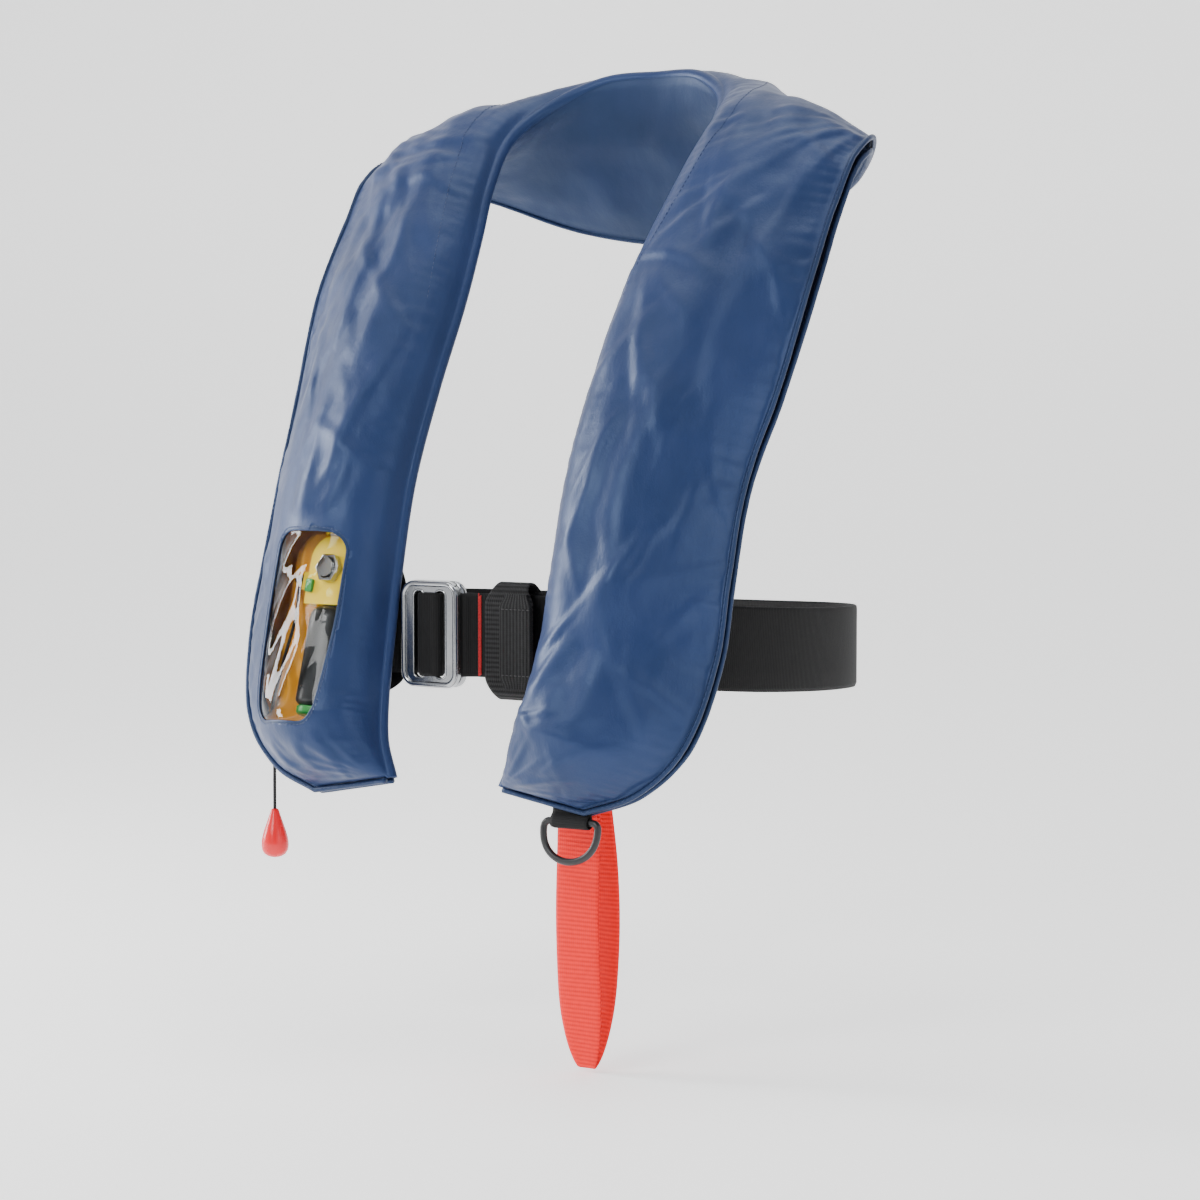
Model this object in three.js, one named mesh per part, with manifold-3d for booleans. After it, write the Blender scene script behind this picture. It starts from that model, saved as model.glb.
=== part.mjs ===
// Inflatable life jacket: a folded air chamber inside a yoke-shaped cover, with its gas inflator,
// waist belt, two-part buckle, harness loop, D-ring, crotch strap and pull cord.
// Units are millimetres. +Z is up, -Y is the wearer's front and +X is the wearer's left.
import * as THREE from 'three';
import { mergeVertices } from 'three/addons/utils/BufferGeometryUtils.js';
import Module from 'manifold-3d';

const wasm = await Module();
wasm.setup();
const V = (x, y, z) => new THREE.Vector3(x, y, z);

// ---- Driving dimensions -------------------------------------------------------------------
const GAP = 0.4; // free space left between touching pieces
const LOFT_STEPS = 50; // spans along the yoke
const LOFT_SPANS = 7; // spans across the yoke

// Half of the yoke: each station is a point on the neck-side edge and one on the outer edge,
// from the bottom of the wearer's left lobe, over the shoulder, to the back of the neck.
const STATIONS = [
  { inner: [42, -152, -83], outer: [98, -150, -93] },
  { inner: [50, -149, -64], outer: [130, -146, -81] },
  { inner: [56, -141, -40], outer: [155, -139, -56] },
  { inner: [60, -130, -5], outer: [167, -124, -8] },
  { inner: [61, -121, 35], outer: [167, -112, 35] },
  { inner: [61, -107, 90], outer: [167, -94, 90] },
  { inner: [61, -83, 145], outer: [173, -66, 145] },
  { inner: [63, -52, 200], outer: [178, -38, 205] },
  { inner: [68, -28, 240], outer: [178, -12, 250] },
  { inner: [74, -6, 275], outer: [179, 8, 280] },
  { inner: [77, 21, 306], outer: [176, 32, 292] },
  { inner: [64, 50, 328], outer: [136, 84, 276] },
  { inner: [36, 68, 343], outer: [76, 110, 254] },
  { inner: [0, 75, 345], outer: [0, 119, 245] },
];
const LOBE_PUFF = 37; // how far the front cover stands off the yoke's mid-surface on the lobes
const SHOULDER_PUFF = 17; // and over the shoulders and behind the neck
const BACK_PUFF = 6; // how far the back cover stands off it, towards the body
const EDGE_HALF = 1.9; // half the gap between the two covers along their edges
const CLOTH = 1.2; // cover fabric with its lining
const PIPING_R = 1.7;

const WEB_WIDTH = 50; // belt webbing
const WEB_THICK = 2;
const BELT_FRONT_Y = -112; // outer face of the belt across the chest
const BELT_BACK_Y = 116;
const BELT_DROP = 14; // the belt sits this much lower at the back

// ---- Solids -------------------------------------------------------------------------------
function toSolid(geometry) {
  const bare = geometry.index ? geometry.toNonIndexed() : geometry.clone();
  for (const name of Object.keys(bare.attributes)) {
    if (name !== 'position') bare.deleteAttribute(name);
  }
  const merged = mergeVertices(bare, 1e-4);
  return new wasm.Manifold(new wasm.Mesh({
    numProp: 3,
    vertProperties: merged.attributes.position.array,
    triVerts: new Uint32Array(merged.index.array),
  }));
}

function toGeometry(solid) {
  const mesh = solid.getMesh();
  const geometry = new THREE.BufferGeometry();
  geometry.setAttribute('position', new THREE.BufferAttribute(new Float32Array(mesh.vertProperties), 3));
  geometry.setIndex(new THREE.BufferAttribute(new Uint32Array(mesh.triVerts), 1));
  geometry.computeVertexNormals();
  return geometry;
}

const cut = (geometry, ...tools) => toGeometry(
  tools.reduce((solid, tool) => solid.subtract(toSolid(tool)), toSolid(geometry)));
const join = (...pieces) => toGeometry(
  pieces.map(toSolid).reduce((all, piece) => all.add(piece)));

// A closed solid swept through frames: each frame places the same convex outline in space.
// A ring joins its last frame to its first.
function sweep(outline, frames, ring = false) {
  const n = outline.length;
  const position = [];
  const index = [];
  frames.forEach(({ at, u, v }) => {
    outline.forEach(([a, b]) => {
      position.push(at.x + a * u.x + b * v.x, at.y + a * u.y + b * v.y, at.z + a * u.z + b * v.z);
    });
  });
  const spans = ring ? frames.length : frames.length - 1;
  for (let i = 0; i < spans; i += 1) {
    const here = i * n;
    const next = ((i + 1) % frames.length) * n;
    for (let j = 0; j < n; j += 1) {
      const k = (j + 1) % n;
      index.push(here + j, here + k, next + k, here + j, next + k, next + j);
    }
  }
  const last = (frames.length - 1) * n;
  for (let j = 1; !ring && j < n - 1; j += 1) {
    index.push(0, j + 1, j, last, last + j, last + j + 1);
  }
  const geometry = new THREE.BufferGeometry();
  geometry.setAttribute('position', new THREE.Float32BufferAttribute(position, 3));
  geometry.setIndex(index);
  if (toSolid(geometry).volume() < 0) {
    for (let k = 0; k < index.length; k += 3) [index[k + 1], index[k + 2]] = [index[k + 2], index[k + 1]];
    geometry.setIndex(index);
  }
  return geometry;
}

const circle = (radius, sides) => Array.from({ length: sides }, (_, k) => {
  const angle = (2 * Math.PI * k) / sides;
  return [radius * Math.cos(angle), radius * Math.sin(angle)];
});

// Frames along a line of points. The outline's second axis stays close to the given direction.
function framesAlong(points, side) {
  return points.map((at, i) => {
    const before = points[Math.max(0, i - 1)];
    const after = points[Math.min(points.length - 1, i + 1)];
    const along = after.clone().sub(before).normalize();
    const v = side.clone().addScaledVector(along, -side.dot(along)).normalize();
    return { at, u: v.clone().cross(along), v };
  });
}

const tube = (points, radius, sides = 6, side = V(0.13, 0.21, 1)) => sweep(
  circle(radius, sides), framesAlong(points, side));

// A flat strap along points, with its width in the given direction.
function strap(points, width, thickness, side = V(0, 0, 1)) {
  const [w, t] = [width / 2, thickness / 2];
  return sweep([[-t, -w], [t, -w], [t, w], [-t, w]], framesAlong(points, side));
}

function roundedRect(width, height, radius) {
  const [w, h] = [width / 2, height / 2];
  const shape = new THREE.Shape();
  shape.moveTo(-w + radius, -h);
  shape.lineTo(w - radius, -h);
  shape.absarc(w - radius, -h + radius, radius, -Math.PI / 2, 0);
  shape.lineTo(w, h - radius);
  shape.absarc(w - radius, h - radius, radius, 0, Math.PI / 2);
  shape.lineTo(-w + radius, h);
  shape.absarc(-w + radius, h - radius, radius, Math.PI / 2, Math.PI);
  shape.lineTo(-w, -h + radius);
  shape.absarc(-w + radius, -h + radius, radius, Math.PI, 1.5 * Math.PI);
  return shape;
}

// A plate in the X-Z plane whose back is at y = 0 and whose front is at y = -depth.
function plate(shape, depth, curveSegments = 5) {
  const geometry = new THREE.ExtrudeGeometry(shape, { depth, bevelEnabled: false, curveSegments });
  return geometry.rotateX(Math.PI / 2);
}

// A turned solid on the Z axis from [radius, z] pairs, bottom first.
const turned = (profile, sides = 16) => new THREE.LatheGeometry(
  [[0, profile[0][1]], ...profile, [0, profile[profile.length - 1][1]]]
    .map(([r, z]) => new THREE.Vector2(r, z)), sides).rotateX(Math.PI / 2);

// ---- The yoke's surfaces ------------------------------------------------------------------
const mirrored = ([x, y, z]) => [-x, y, z];
const wholeEdge = (edge) => new THREE.CatmullRomCurve3([
  ...STATIONS.map((s) => V(...s[edge])),
  ...STATIONS.slice(0, -1).reverse().map((s) => V(...mirrored(s[edge]))),
], false, 'centripetal');
const innerEdge = wholeEdge('inner');
const outerEdge = wholeEdge('outer');

// s runs from 0 at the left lobe's bottom to 1 at the right lobe's; w from 0 at the neck to 1 outside.
function yokeFrame(s, w) {
  const on = (t) => innerEdge.getPoint(t).lerp(outerEdge.getPoint(t), w);
  const at = on(s);
  const step = 0.004;
  const along = on(Math.min(1, s + step)).sub(on(Math.max(0, s - step))).normalize();
  const across = outerEdge.getPoint(s).sub(innerEdge.getPoint(s)).normalize();
  return { at, across, normal: across.clone().cross(along).normalize() };
}

const smooth = (x, a, b) => THREE.MathUtils.smoothstep(x, a, b);

// How full the yoke is: round towards the neck, a slope towards the outer edge, and closed at
// the two bottom ends. The section is fullest at RIDGE_AT of the width.
const RIDGE_AT = 0.4;
function fullness(s, w) {
  const end = Math.min(s, 1 - s);
  const closing = Math.min(1, end / 0.06) ** 0.6;
  const section = w < RIDGE_AT
    ? (1 - (1 - w / RIDGE_AT) ** 2.8) ** 0.55
    : 1 - ((w - RIDGE_AT) / (1 - RIDGE_AT)) ** 1.9;
  return closing * section;
}

function frontPuff(s) {
  const fromEnd = Math.min(s, 1 - s);
  return THREE.MathUtils.lerp(LOBE_PUFF, SHOULDER_PUFF, smooth(fromEnd, 0.16, 0.36));
}

// A point off the yoke's mid-surface: layer is the distance kept inside the cover.
function yokePoint(s, w, front, layer = 0) {
  const { at, normal } = yokeFrame(s, w);
  const puff = front ? frontPuff(s) : BACK_PUFF;
  const distance = EDGE_HALF + CLOTH + puff * fullness(s, w) - layer;
  return at.addScaledVector(normal, front ? distance : -distance);
}

// Values from a to b, closer together near both ends.
const eased = (a, b, count) => Array.from({ length: count + 1 }, (_, i) => (
  a + (b - a) * (0.5 - 0.5 * Math.cos((Math.PI * i) / count))));
const even = (a, b, count) => Array.from({ length: count + 1 }, (_, i) => a + ((b - a) * i) / count);
const ALONG = [0, 0.006, ...even(0, 1, LOFT_STEPS).slice(1, -1), 0.994, 1];
const ACROSS = eased(0, 1, LOFT_SPANS);

// A closed solid between two surfaces, each sampled at the same values along and across.
function loft(outside, inside, alongList = ALONG, acrossList = ACROSS) {
  const [steps, spans] = [alongList.length - 1, acrossList.length - 1];
  const position = [];
  const index = [];
  const row = spans + 1;
  const layer = (steps + 1) * row;
  [outside, inside].forEach((surface) => {
    for (let i = 0; i <= steps; i += 1) {
      for (let j = 0; j <= spans; j += 1) {
        const p = surface(alongList[i], acrossList[j]);
        position.push(p.x, p.y, p.z);
      }
    }
  });
  const quad = (a, b, c, d) => index.push(a, b, c, a, c, d);
  for (let i = 0; i < steps; i += 1) {
    for (let j = 0; j < spans; j += 1) {
      const a = i * row + j;
      quad(a, a + 1, a + row + 1, a + row);
      quad(layer + a, layer + a + row, layer + a + row + 1, layer + a + 1);
    }
    const [left, right] = [i * row, i * row + spans];
    quad(left, left + row, layer + left + row, layer + left);
    quad(right, layer + right, layer + right + row, right + row);
  }
  for (let j = 0; j < spans; j += 1) {
    const end = steps * row + j;
    quad(j, layer + j, layer + j + 1, j + 1);
    quad(end, end + 1, layer + end + 1, layer + end);
  }
  const geometry = new THREE.BufferGeometry();
  geometry.setAttribute('position', new THREE.Float32BufferAttribute(position, 3));
  geometry.setIndex(index);
  if (toSolid(geometry).volume() < 0) {
    for (let k = 0; k < index.length; k += 3) [index[k + 1], index[k + 2]] = [index[k + 2], index[k + 1]];
    geometry.setIndex(index);
  }
  return geometry;
}

// ---- Finishes -----------------------------------------------------------------------------
const finish = (color, roughness, metalness = 0) => new THREE.MeshStandardMaterial({
  color, roughness, metalness,
});
const NAVY_NYLON = finish(0x24386b, 0.45);
const BLACK_WEBBING = finish(0x141414, 0.85);
const RED_WEBBING = finish(0xf0231c, 0.8);
const ORANGE_CHAMBER = finish(0xe88a2a, 0.55);
const CLEAR_VINYL = new THREE.MeshStandardMaterial({
  color: 0xf4f6f8, roughness: 0.08, transparent: true, opacity: 0.3,
});
const STEEL = finish(0xbfc3c6, 0.22, 1);
const YELLOW_PLASTIC = finish(0xf4c714, 0.4);
const BLACK_PLASTIC = finish(0x17181a, 0.5);
const GREY_PAINT = finish(0x55585c, 0.4, 0.4);
const GREEN_PLASTIC = finish(0x1f9a3a, 0.45);
const RED_PLASTIC = finish(0xe8262b, 0.35);
const WHITE_PLASTIC = finish(0xe9e9e4, 0.5);
const BLACK_RUBBER = finish(0x101010, 0.8);

const root = new THREE.Group();
function add(name, geometry, material, parent = root) {
  const mesh = new THREE.Mesh(geometry, material);
  mesh.name = name;
  parent.add(mesh);
  return mesh;
}
const moved = (geometry, x, y, z) => geometry.translate(x, y, z);

// ---- Cover, window and air chamber ----------------------------------------------------------
// The yoke parameter at which the neck-side edge of the left lobe reaches a height.
function stepAtHeight(z) {
  let [low, high] = [0, 0.3];
  for (let i = 0; i < 30; i += 1) {
    const middle = (low + high) / 2;
    if (innerEdge.getPoint(middle).z < z) low = middle;
    else high = middle;
  }
  return (low + high) / 2;
}

// A group fixed to a point of the yoke's mid-surface: -Y is out of the front cover, +X is level
// and towards the wearer's left, and +Z is up the surface.
function surfaceGroup(s, w) {
  const { at, normal } = yokeFrame(s, w);
  const y = normal.clone().negate();
  const z = V(0, 0, 1).addScaledVector(y, -y.z).normalize();
  const group = new THREE.Group();
  group.position.copy(at);
  group.quaternion.setFromRotationMatrix(new THREE.Matrix4().makeBasis(y.clone().cross(z), y, z));
  root.add(group);
  group.updateMatrixWorld(true);
  return group;
}

const WINDOW = { width: 56, height: 119, corner: 13, across: 0.39 };
const rightLobe = surfaceGroup(1 - stepAtHeight(-4), WINDOW.across);
const leftLobe = surfaceGroup(stepAtHeight(70), 0.42);

const inRoot = (geometry, group) => geometry.applyMatrix4(group.matrixWorld);
const windowPrism = (margin, depth = 60) => inRoot(plate(roundedRect(
  WINDOW.width + 2 * margin, WINDOW.height + 2 * margin, WINDOW.corner + margin), depth), rightLobe);

const coverLayer = (front, outside, inside, ...lists) => loft(
  (s, w) => yokePoint(s, w, front, outside),
  (s, w) => yokePoint(s, w, front, inside), ...lists);

// The part of the cover's own grid over the right lobe.
const LOBE_GRID = [ALONG.slice(41), ACROSS.slice(1)];
const onWindow = (outside, inside, prism) => toSolid(
  coverLayer(true, outside, inside, ...LOBE_GRID)).intersect(toSolid(prism));

add('front_cover', cut(coverLayer(true, 0, CLOTH), windowPrism(0)), NAVY_NYLON);
add('back_cover', coverLayer(false, 0, CLOTH), NAVY_NYLON);
add('window_pane', toGeometry(onWindow(0.2, 1, windowPrism(-GAP))), CLEAR_VINYL);
add('window_binding', toGeometry(onWindow(-1.2, -GAP, windowPrism(3))
  .subtract(toSolid(windowPrism(-0.5)))), NAVY_NYLON);

const pocket = ({ x, y, z }, group) => inRoot(moved(new THREE.BoxGeometry(
  x[1] - x[0], y[1] - y[0], z[1] - z[0]), (x[0] + x[1]) / 2, (y[0] + y[1]) / 2, (z[0] + z[1]) / 2), group);
const INFLATOR_POCKET = { x: [-31, 31], y: [-60, -4], z: [-60, 86] };
const CORD_NOTCH = { x: [-56, -14], y: [-60, 5], z: [-110, -52] };
const TUBE_POCKET = { x: [-14, 34], y: [-60, -5], z: [-58, 74] };
add('bladder', cut(
  loft((s, w) => yokePoint(s, w, true, 4.8), (s, w) => yokePoint(s, w, false, 4.4),
    ALONG.slice(2, -2), eased(0.08, 0.92, 6)),
  pocket(INFLATOR_POCKET, rightLobe), pocket(CORD_NOTCH, rightLobe),
  pocket(TUBE_POCKET, leftLobe)), ORANGE_CHAMBER);

// The crescent-shaped lining strip along the neck edge.
const collarWidth = (s) => 0.03 + 0.17 * Math.sin((Math.PI * (s - 0.25)) / 0.5) ** 0.7;
const collarPoint = (s, w, layer) => yokePoint(s, 0.015 + w * collarWidth(s), true, layer);
const insideCover = loft((s, w) => yokePoint(s, w, true, -GAP), (s, w) => yokeFrame(s, w).at);
add('collar_facing', cut(loft(
  (s, w) => collarPoint(s, w, -GAP - 2), (s, w) => collarPoint(s, w, -GAP - 0.8),
  even(0.26, 0.74, 26), [0, 0.4, 0.75, 1]), insideCover), NAVY_NYLON);

function pipingPath(front) {
  const lift = EDGE_HALF + 1.4;
  const clear = PIPING_R + 1;
  const point = (s, w, bottom) => {
    const { at, across, normal } = yokeFrame(s, w);
    const edge = bottom ? across : outerEdge.getTangent(s);
    const outward = edge.clone().cross(normal).normalize();
    const away = bottom ? V(0, 0, -1) : across;
    return at.addScaledVector(normal, front ? lift : -lift)
      .addScaledVector(outward, outward.dot(away) > 0 ? clear : -clear);
  };
  const bottom = [0.02, 0.25, 0.5, 0.75, 0.96];
  return [
    ...bottom.map((w) => point(0, w, true)),
    ...ALONG.slice(1, -1).map((s) => point(s, 1, false)),
    ...bottom.slice().reverse().map((w) => point(1, w, true)),
  ];
}
add('front_piping', tube(pipingPath(true), PIPING_R, 5), NAVY_NYLON);
add('back_piping', tube(pipingPath(false), PIPING_R, 5), NAVY_NYLON);

// ---- Gas inflator, in the right lobe's frame ------------------------------------------------
const STEM = { x: 10, z: 38, radius: 6 };
const FIRING_AXIS = { x: STEM.x, y: -18 };
const LEVER = { x: STEM.x - 22.5, z: 31, reach: 12, thickness: 3, y: -15.5 };
const forward = (geometry) => geometry.rotateX(Math.PI / 2); // a turned solid's +Z to -Y
const turnedForward = (profile, x, z, sides) => moved(forward(turned(profile, sides)), x, 0, z);
const turnedUp = (profile, x, y, sides) => moved(turned(profile, sides), x, y, 0);

add('valve_stem', turnedForward([[20, 4.4], [20, 6.2], [STEM.radius, 6.8], [STEM.radius, 33]],
  STEM.x, STEM.z), STEEL, rightLobe);
add('stem_gasket', cut(turnedForward([[9, 7.1], [9, 7.9]], STEM.x, STEM.z),
  turnedForward([[STEM.radius + 0.5, 0], [STEM.radius + 0.5, 20]], STEM.x, STEM.z)),
  BLACK_RUBBER, rightLobe);

function inflatorBody() {
  const front = 26;
  const back = 8.4;
  const shape = new THREE.Shape();
  shape.moveTo(-18, -22);
  shape.lineTo(18, -22);
  shape.lineTo(18, 6);
  shape.absarc(4, 6, 14, 0, Math.PI / 2);
  shape.lineTo(-4, 20);
  shape.absarc(-4, 6, 14, Math.PI / 2, Math.PI);
  shape.lineTo(-18, -22);
  const block = moved(plate(shape, front - back), STEM.x, -back, STEM.z);
  const ear = (y) => moved(new THREE.BoxGeometry(12, 3, 11), LEVER.x + 1.5, y, LEVER.z);
  const earPin = turnedForward([[1.6, 5], [1.6, 40]], LEVER.x, LEVER.z, 12);
  return cut(
    join(block, ear(LEVER.y - 3.4), ear(LEVER.y + 3.4)),
    turnedForward([[STEM.radius + 0.3, 0], [STEM.radius + 0.3, 40]], STEM.x, STEM.z),
    turnedUp([[6.3, 10], [6.3, 24]], FIRING_AXIS.x, FIRING_AXIS.y),
    turnedUp([[2.7, 20], [2.7, 31]], FIRING_AXIS.x, FIRING_AXIS.y, 12),
    earPin);
}
add('inflator_body', inflatorBody(), YELLOW_PLASTIC, rightLobe);

function retainingNut() {
  const outline = new THREE.Shape(circle(9.2, 6).map(([x, y]) => new THREE.Vector2(x, y)));
  const hex = moved(plate(outline, 4.6), STEM.x, -26.4, STEM.z);
  return cut(hex, turnedForward([[STEM.radius + 0.3, 0], [STEM.radius + 0.3, 40]], STEM.x, STEM.z));
}
add('retaining_nut', retainingNut(), STEEL, rightLobe);
add('gas_cylinder', turnedUp(
  [[11, -46], [13.5, -43.5], [13.5, 9], [12, 13], [8, 15.4], [5.8, 15.8], [5.8, 22]],
  FIRING_AXIS.x, FIRING_AXIS.y, 20), GREY_PAINT, rightLobe);
add('cylinder_foot', turnedUp([[10, -52], [12, -50.5], [12, -46.4]], FIRING_AXIS.x, FIRING_AXIS.y, 20),
  GREEN_PLASTIC, rightLobe);
add('firing_pin', turnedUp([[0.6, 25.4], [2.2, 27], [2.2, 30.4]], FIRING_AXIS.x, FIRING_AXIS.y, 12),
  STEEL, rightLobe);

function pullLever() {
  const arm = new THREE.Shape();
  arm.absarc(0, 0, 4, -Math.PI / 4, Math.PI / 2);
  arm.lineTo(-LEVER.reach, 4);
  arm.absarc(-LEVER.reach, 1.6, 2.4, Math.PI / 2, 1.5 * Math.PI);
  const blade = moved(plate(arm, LEVER.thickness), LEVER.x, LEVER.y + LEVER.thickness / 2, LEVER.z);
  return cut(blade, turnedForward([[1.6, 5], [1.6, 40]], LEVER.x, LEVER.z, 12));
}
add('pull_lever', pullLever(), BLACK_PLASTIC, rightLobe);
add('lever_pin', turnedForward([[1.3, 10.8], [1.3, 21]], LEVER.x, LEVER.z, 12), STEEL, rightLobe);
add('indicator_clip', moved(plate(roundedRect(5, 8, 1.2), 2), STEM.x - 14.5, -26.4, 27),
  GREEN_PLASTIC, rightLobe);

const SENSOR = { z: 60, radius: 12.5 };
const shell = (outer, inner) => cut(turnedUp(outer, FIRING_AXIS.x, FIRING_AXIS.y, 20),
  turnedUp(inner, FIRING_AXIS.x, FIRING_AXIS.y, 20));
add('sensor_cap', shell(
  [[SENSOR.radius, 59], [SENSOR.radius, 74], [SENSOR.radius - 2, 76]],
  [[SENSOR.radius - 1.6, 58], [SENSOR.radius - 1.6, 74]]), YELLOW_PLASTIC, rightLobe);
add('water_element', turnedUp([[8, SENSOR.z], [8, SENSOR.z + 5.5]], FIRING_AXIS.x, FIRING_AXIS.y),
  WHITE_PLASTIC, rightLobe);
const coil = Array.from({ length: 31 }, (_, i) => {
  const turn = (i / 30) * 2.5 * 2 * Math.PI;
  return V(FIRING_AXIS.x + 6 * Math.cos(turn), FIRING_AXIS.y + 6 * Math.sin(turn), 66.8 + (i / 30) * 6);
});
add('sensor_spring', tube(coil, 0.6, 4), STEEL, rightLobe);

// ---- Pull cord and toggle -------------------------------------------------------------------
const CORD_R = 1;
const CORD_EXIT_X = -137; // where the cord leaves the right lobe's outer edge
const placed = (x, y, z, group) => V(x, y, z).applyMatrix4(group.matrixWorld);
function stepAtOuterX(x) {
  let [low, high] = [0, 0.12];
  for (let i = 0; i < 30; i += 1) {
    const middle = (low + high) / 2;
    if (outerEdge.getPoint(middle).x < -x) low = middle;
    else high = middle;
  }
  return 1 - (low + high) / 2;
}
const exitStep = stepAtOuterX(CORD_EXIT_X);
const edgePoint = outerEdge.getPoint(exitStep);
const exit = edgePoint.clone().add(V(0, -0.4, -15));
const cordRun = new THREE.CatmullRomCurve3([
  placed(LEVER.x - LEVER.reach + 1, LEVER.y, LEVER.z - 3, rightLobe),
  placed(-24, LEVER.y - 4, 2, rightLobe), placed(-26, -17, -30, rightLobe),
  placed(-30, -10, -58, rightLobe),
  yokeFrame(exitStep - 0.014, 0.9).at, edgePoint, exit]).getPoints(26);
add('pull_cord', tube(cordRun, CORD_R, 6, V(1, 0, 0)), BLACK_WEBBING);

const hanging = new THREE.Group();
hanging.position.copy(exit);
root.add(hanging);
const TOGGLE_TOP = -19;
add('toggle_cord', tube([V(0, 0, -0.5), V(0, 0, -9), V(0, 0, TOGGLE_TOP + 0.8)], CORD_R, 6, V(1, 0, 0)),
  BLACK_WEBBING, hanging);
add('pull_toggle', turned([
  [3.4, TOGGLE_TOP - 30], [6.4, TOGGLE_TOP - 28.6], [8.2, TOGGLE_TOP - 25], [8.4, TOGGLE_TOP - 21.5],
  [7, TOGGLE_TOP - 15], [4.4, TOGGLE_TOP - 7], [2.8, TOGGLE_TOP - 2], [1.8, TOGGLE_TOP]], 18),
RED_PLASTIC, hanging);

// ---- Mouth tube and whistle, in the left lobe's frame ---------------------------------------
const TUBE = { x: 4, y: -20 };
const upTube = (profile, sides = 16) => turnedUp(profile, TUBE.x, TUBE.y, sides);
add('oral_tube', cut(
  upTube([[10, -54], [10, -52], [6, -50], [6, 45]]),
  upTube([[4.2, -48], [4.2, 60]])), BLACK_PLASTIC, leftLobe);
add('oral_valve', upTube([[1.6, 22], [1.6, 36], [3.9, 37], [3.9, 44.5]], 12), RED_PLASTIC, leftLobe);
add('oral_cap', cut(
  upTube([[7.8, 30], [7.8, 54], [6.4, 56]]),
  upTube([[6.3, 29], [6.3, 53]])), BLACK_PLASTIC, leftLobe);

const WHISTLE = { x: 23, y: -15, z: -10 };
function whistle() {
  const barrel = moved(forward(turned([[7, -5.5], [7, 5.5]], 18)), WHISTLE.x, WHISTLE.y, WHISTLE.z);
  const mouth = moved(new THREE.BoxGeometry(6, 9.4, 26), WHISTLE.x - 3.9, WHISTLE.y, WHISTLE.z + 14);
  const slot = moved(new THREE.BoxGeometry(8, 7, 3), WHISTLE.x - 6, WHISTLE.y, WHISTLE.z + 10);
  return cut(join(barrel, mouth), slot);
}
add('whistle', whistle(), WHITE_PLASTIC, leftLobe);
add('whistle_cord', tube(new THREE.CatmullRomCurve3([
  V(18, -15, -17.9), V(18, -15, -28), V(13, -18, -36), V(11.3, -20, -40),
]).getPoints(8), 0.8, 5, V(1, 0, 0)),
BLACK_WEBBING, leftLobe);

// ---- Waist belt and buckle --------------------------------------------------------------------
const RING = { x: -35.5, width: 45, height: 66, bar: 5, depth: 3, y: -113.4 };
const PLATE = { x: -34, width: 42, height: 64, slot: 7, core: 9, depth: 3, y: -120.6 };
const beltSide = [[58, -111, 0], [80, -109, -1], [112, -97, -2], [150, -62, -5], [165, -5, -8],
  [157, 55, -10], [118, 98, -12], [55, 114, -13.5]];
const smoothLine = (points, count) => new THREE.CatmullRomCurve3(
  points.map((p) => V(...p)), false, 'centripetal').getPoints(count);

// From its sewn end near the centre line, round the ring's bar, round the body and through the plate.
const ringLoop = [[-6, -113.6, 0], [-9, -115.4, 0], [-12.4, -118, 0], [-16, -118.6, 0], [-20.2, -118, 0],
  [-21.6, -116, 0], [-21.6, -113.4, 0], [-20, -111.3, 0], [-16, -111, 0]];
const plateLoop = [[-52, -111, 0], [-46, -111.6, 0], [-42.6, -114.4, 0], [-41.8, -119, 0], [-41.2, -124, 0],
  [-38.6, -126.2, 0], [-34, -126.4, 0], [-29.4, -126.2, 0], [-26.8, -124, 0], [-26.8, -119.6, 0],
  [-28.8, -117.4, 0], [-33, -116.8, 0], [-37, -116.6, 0]];
const beltPoints = [
  V(3, -113.6, 0), ...smoothLine(ringLoop, 22), V(58, -111, 0),
  ...smoothLine([...beltSide, [0, BELT_BACK_Y, -BELT_DROP],
    ...beltSide.map(mirrored).reverse()], 56).slice(1),
  ...smoothLine(plateLoop, 34),
];
add('waist_belt', strap(beltPoints, WEB_WIDTH, WEB_THICK), BLACK_WEBBING);

function frame({ width, height, depth }, radius, holes) {
  const shape = roundedRect(width, height, radius);
  holes.forEach(({ x, w, h, r }) => {
    const hole = roundedRect(w, h, r);
    shape.holes.push(new THREE.Path(hole.getPoints(5).map((p) => new THREE.Vector2(p.x + x, p.y))));
  });
  return plate(shape, depth);
}
add('buckle_ring', moved(frame(RING, 8, [{
  x: 0, w: RING.width - 2 * RING.bar, h: RING.height - 2 * 6, r: 4,
}]), RING.x, RING.y, 0), STEEL);
const slotCentre = (PLATE.core + PLATE.slot) / 2;
add('buckle_plate', moved(frame(PLATE, 9, [-slotCentre, slotCentre].map((x) => ({
  x, w: PLATE.slot, h: 52, r: 3.2,
}))), PLATE.x, PLATE.y, 0), STEEL);

const STITCH_X = [-3, 45];
const stitchBar = (x, y) => moved(new THREE.BoxGeometry(1.8, 0.5, WEB_WIDTH - 1), x, y - 0.65, 0);
add('stitch_bar_right', stitchBar(STITCH_X[0], -114.6), RED_WEBBING);
add('stitch_bar_left', stitchBar(STITCH_X[1], BELT_FRONT_Y), RED_WEBBING);

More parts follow.
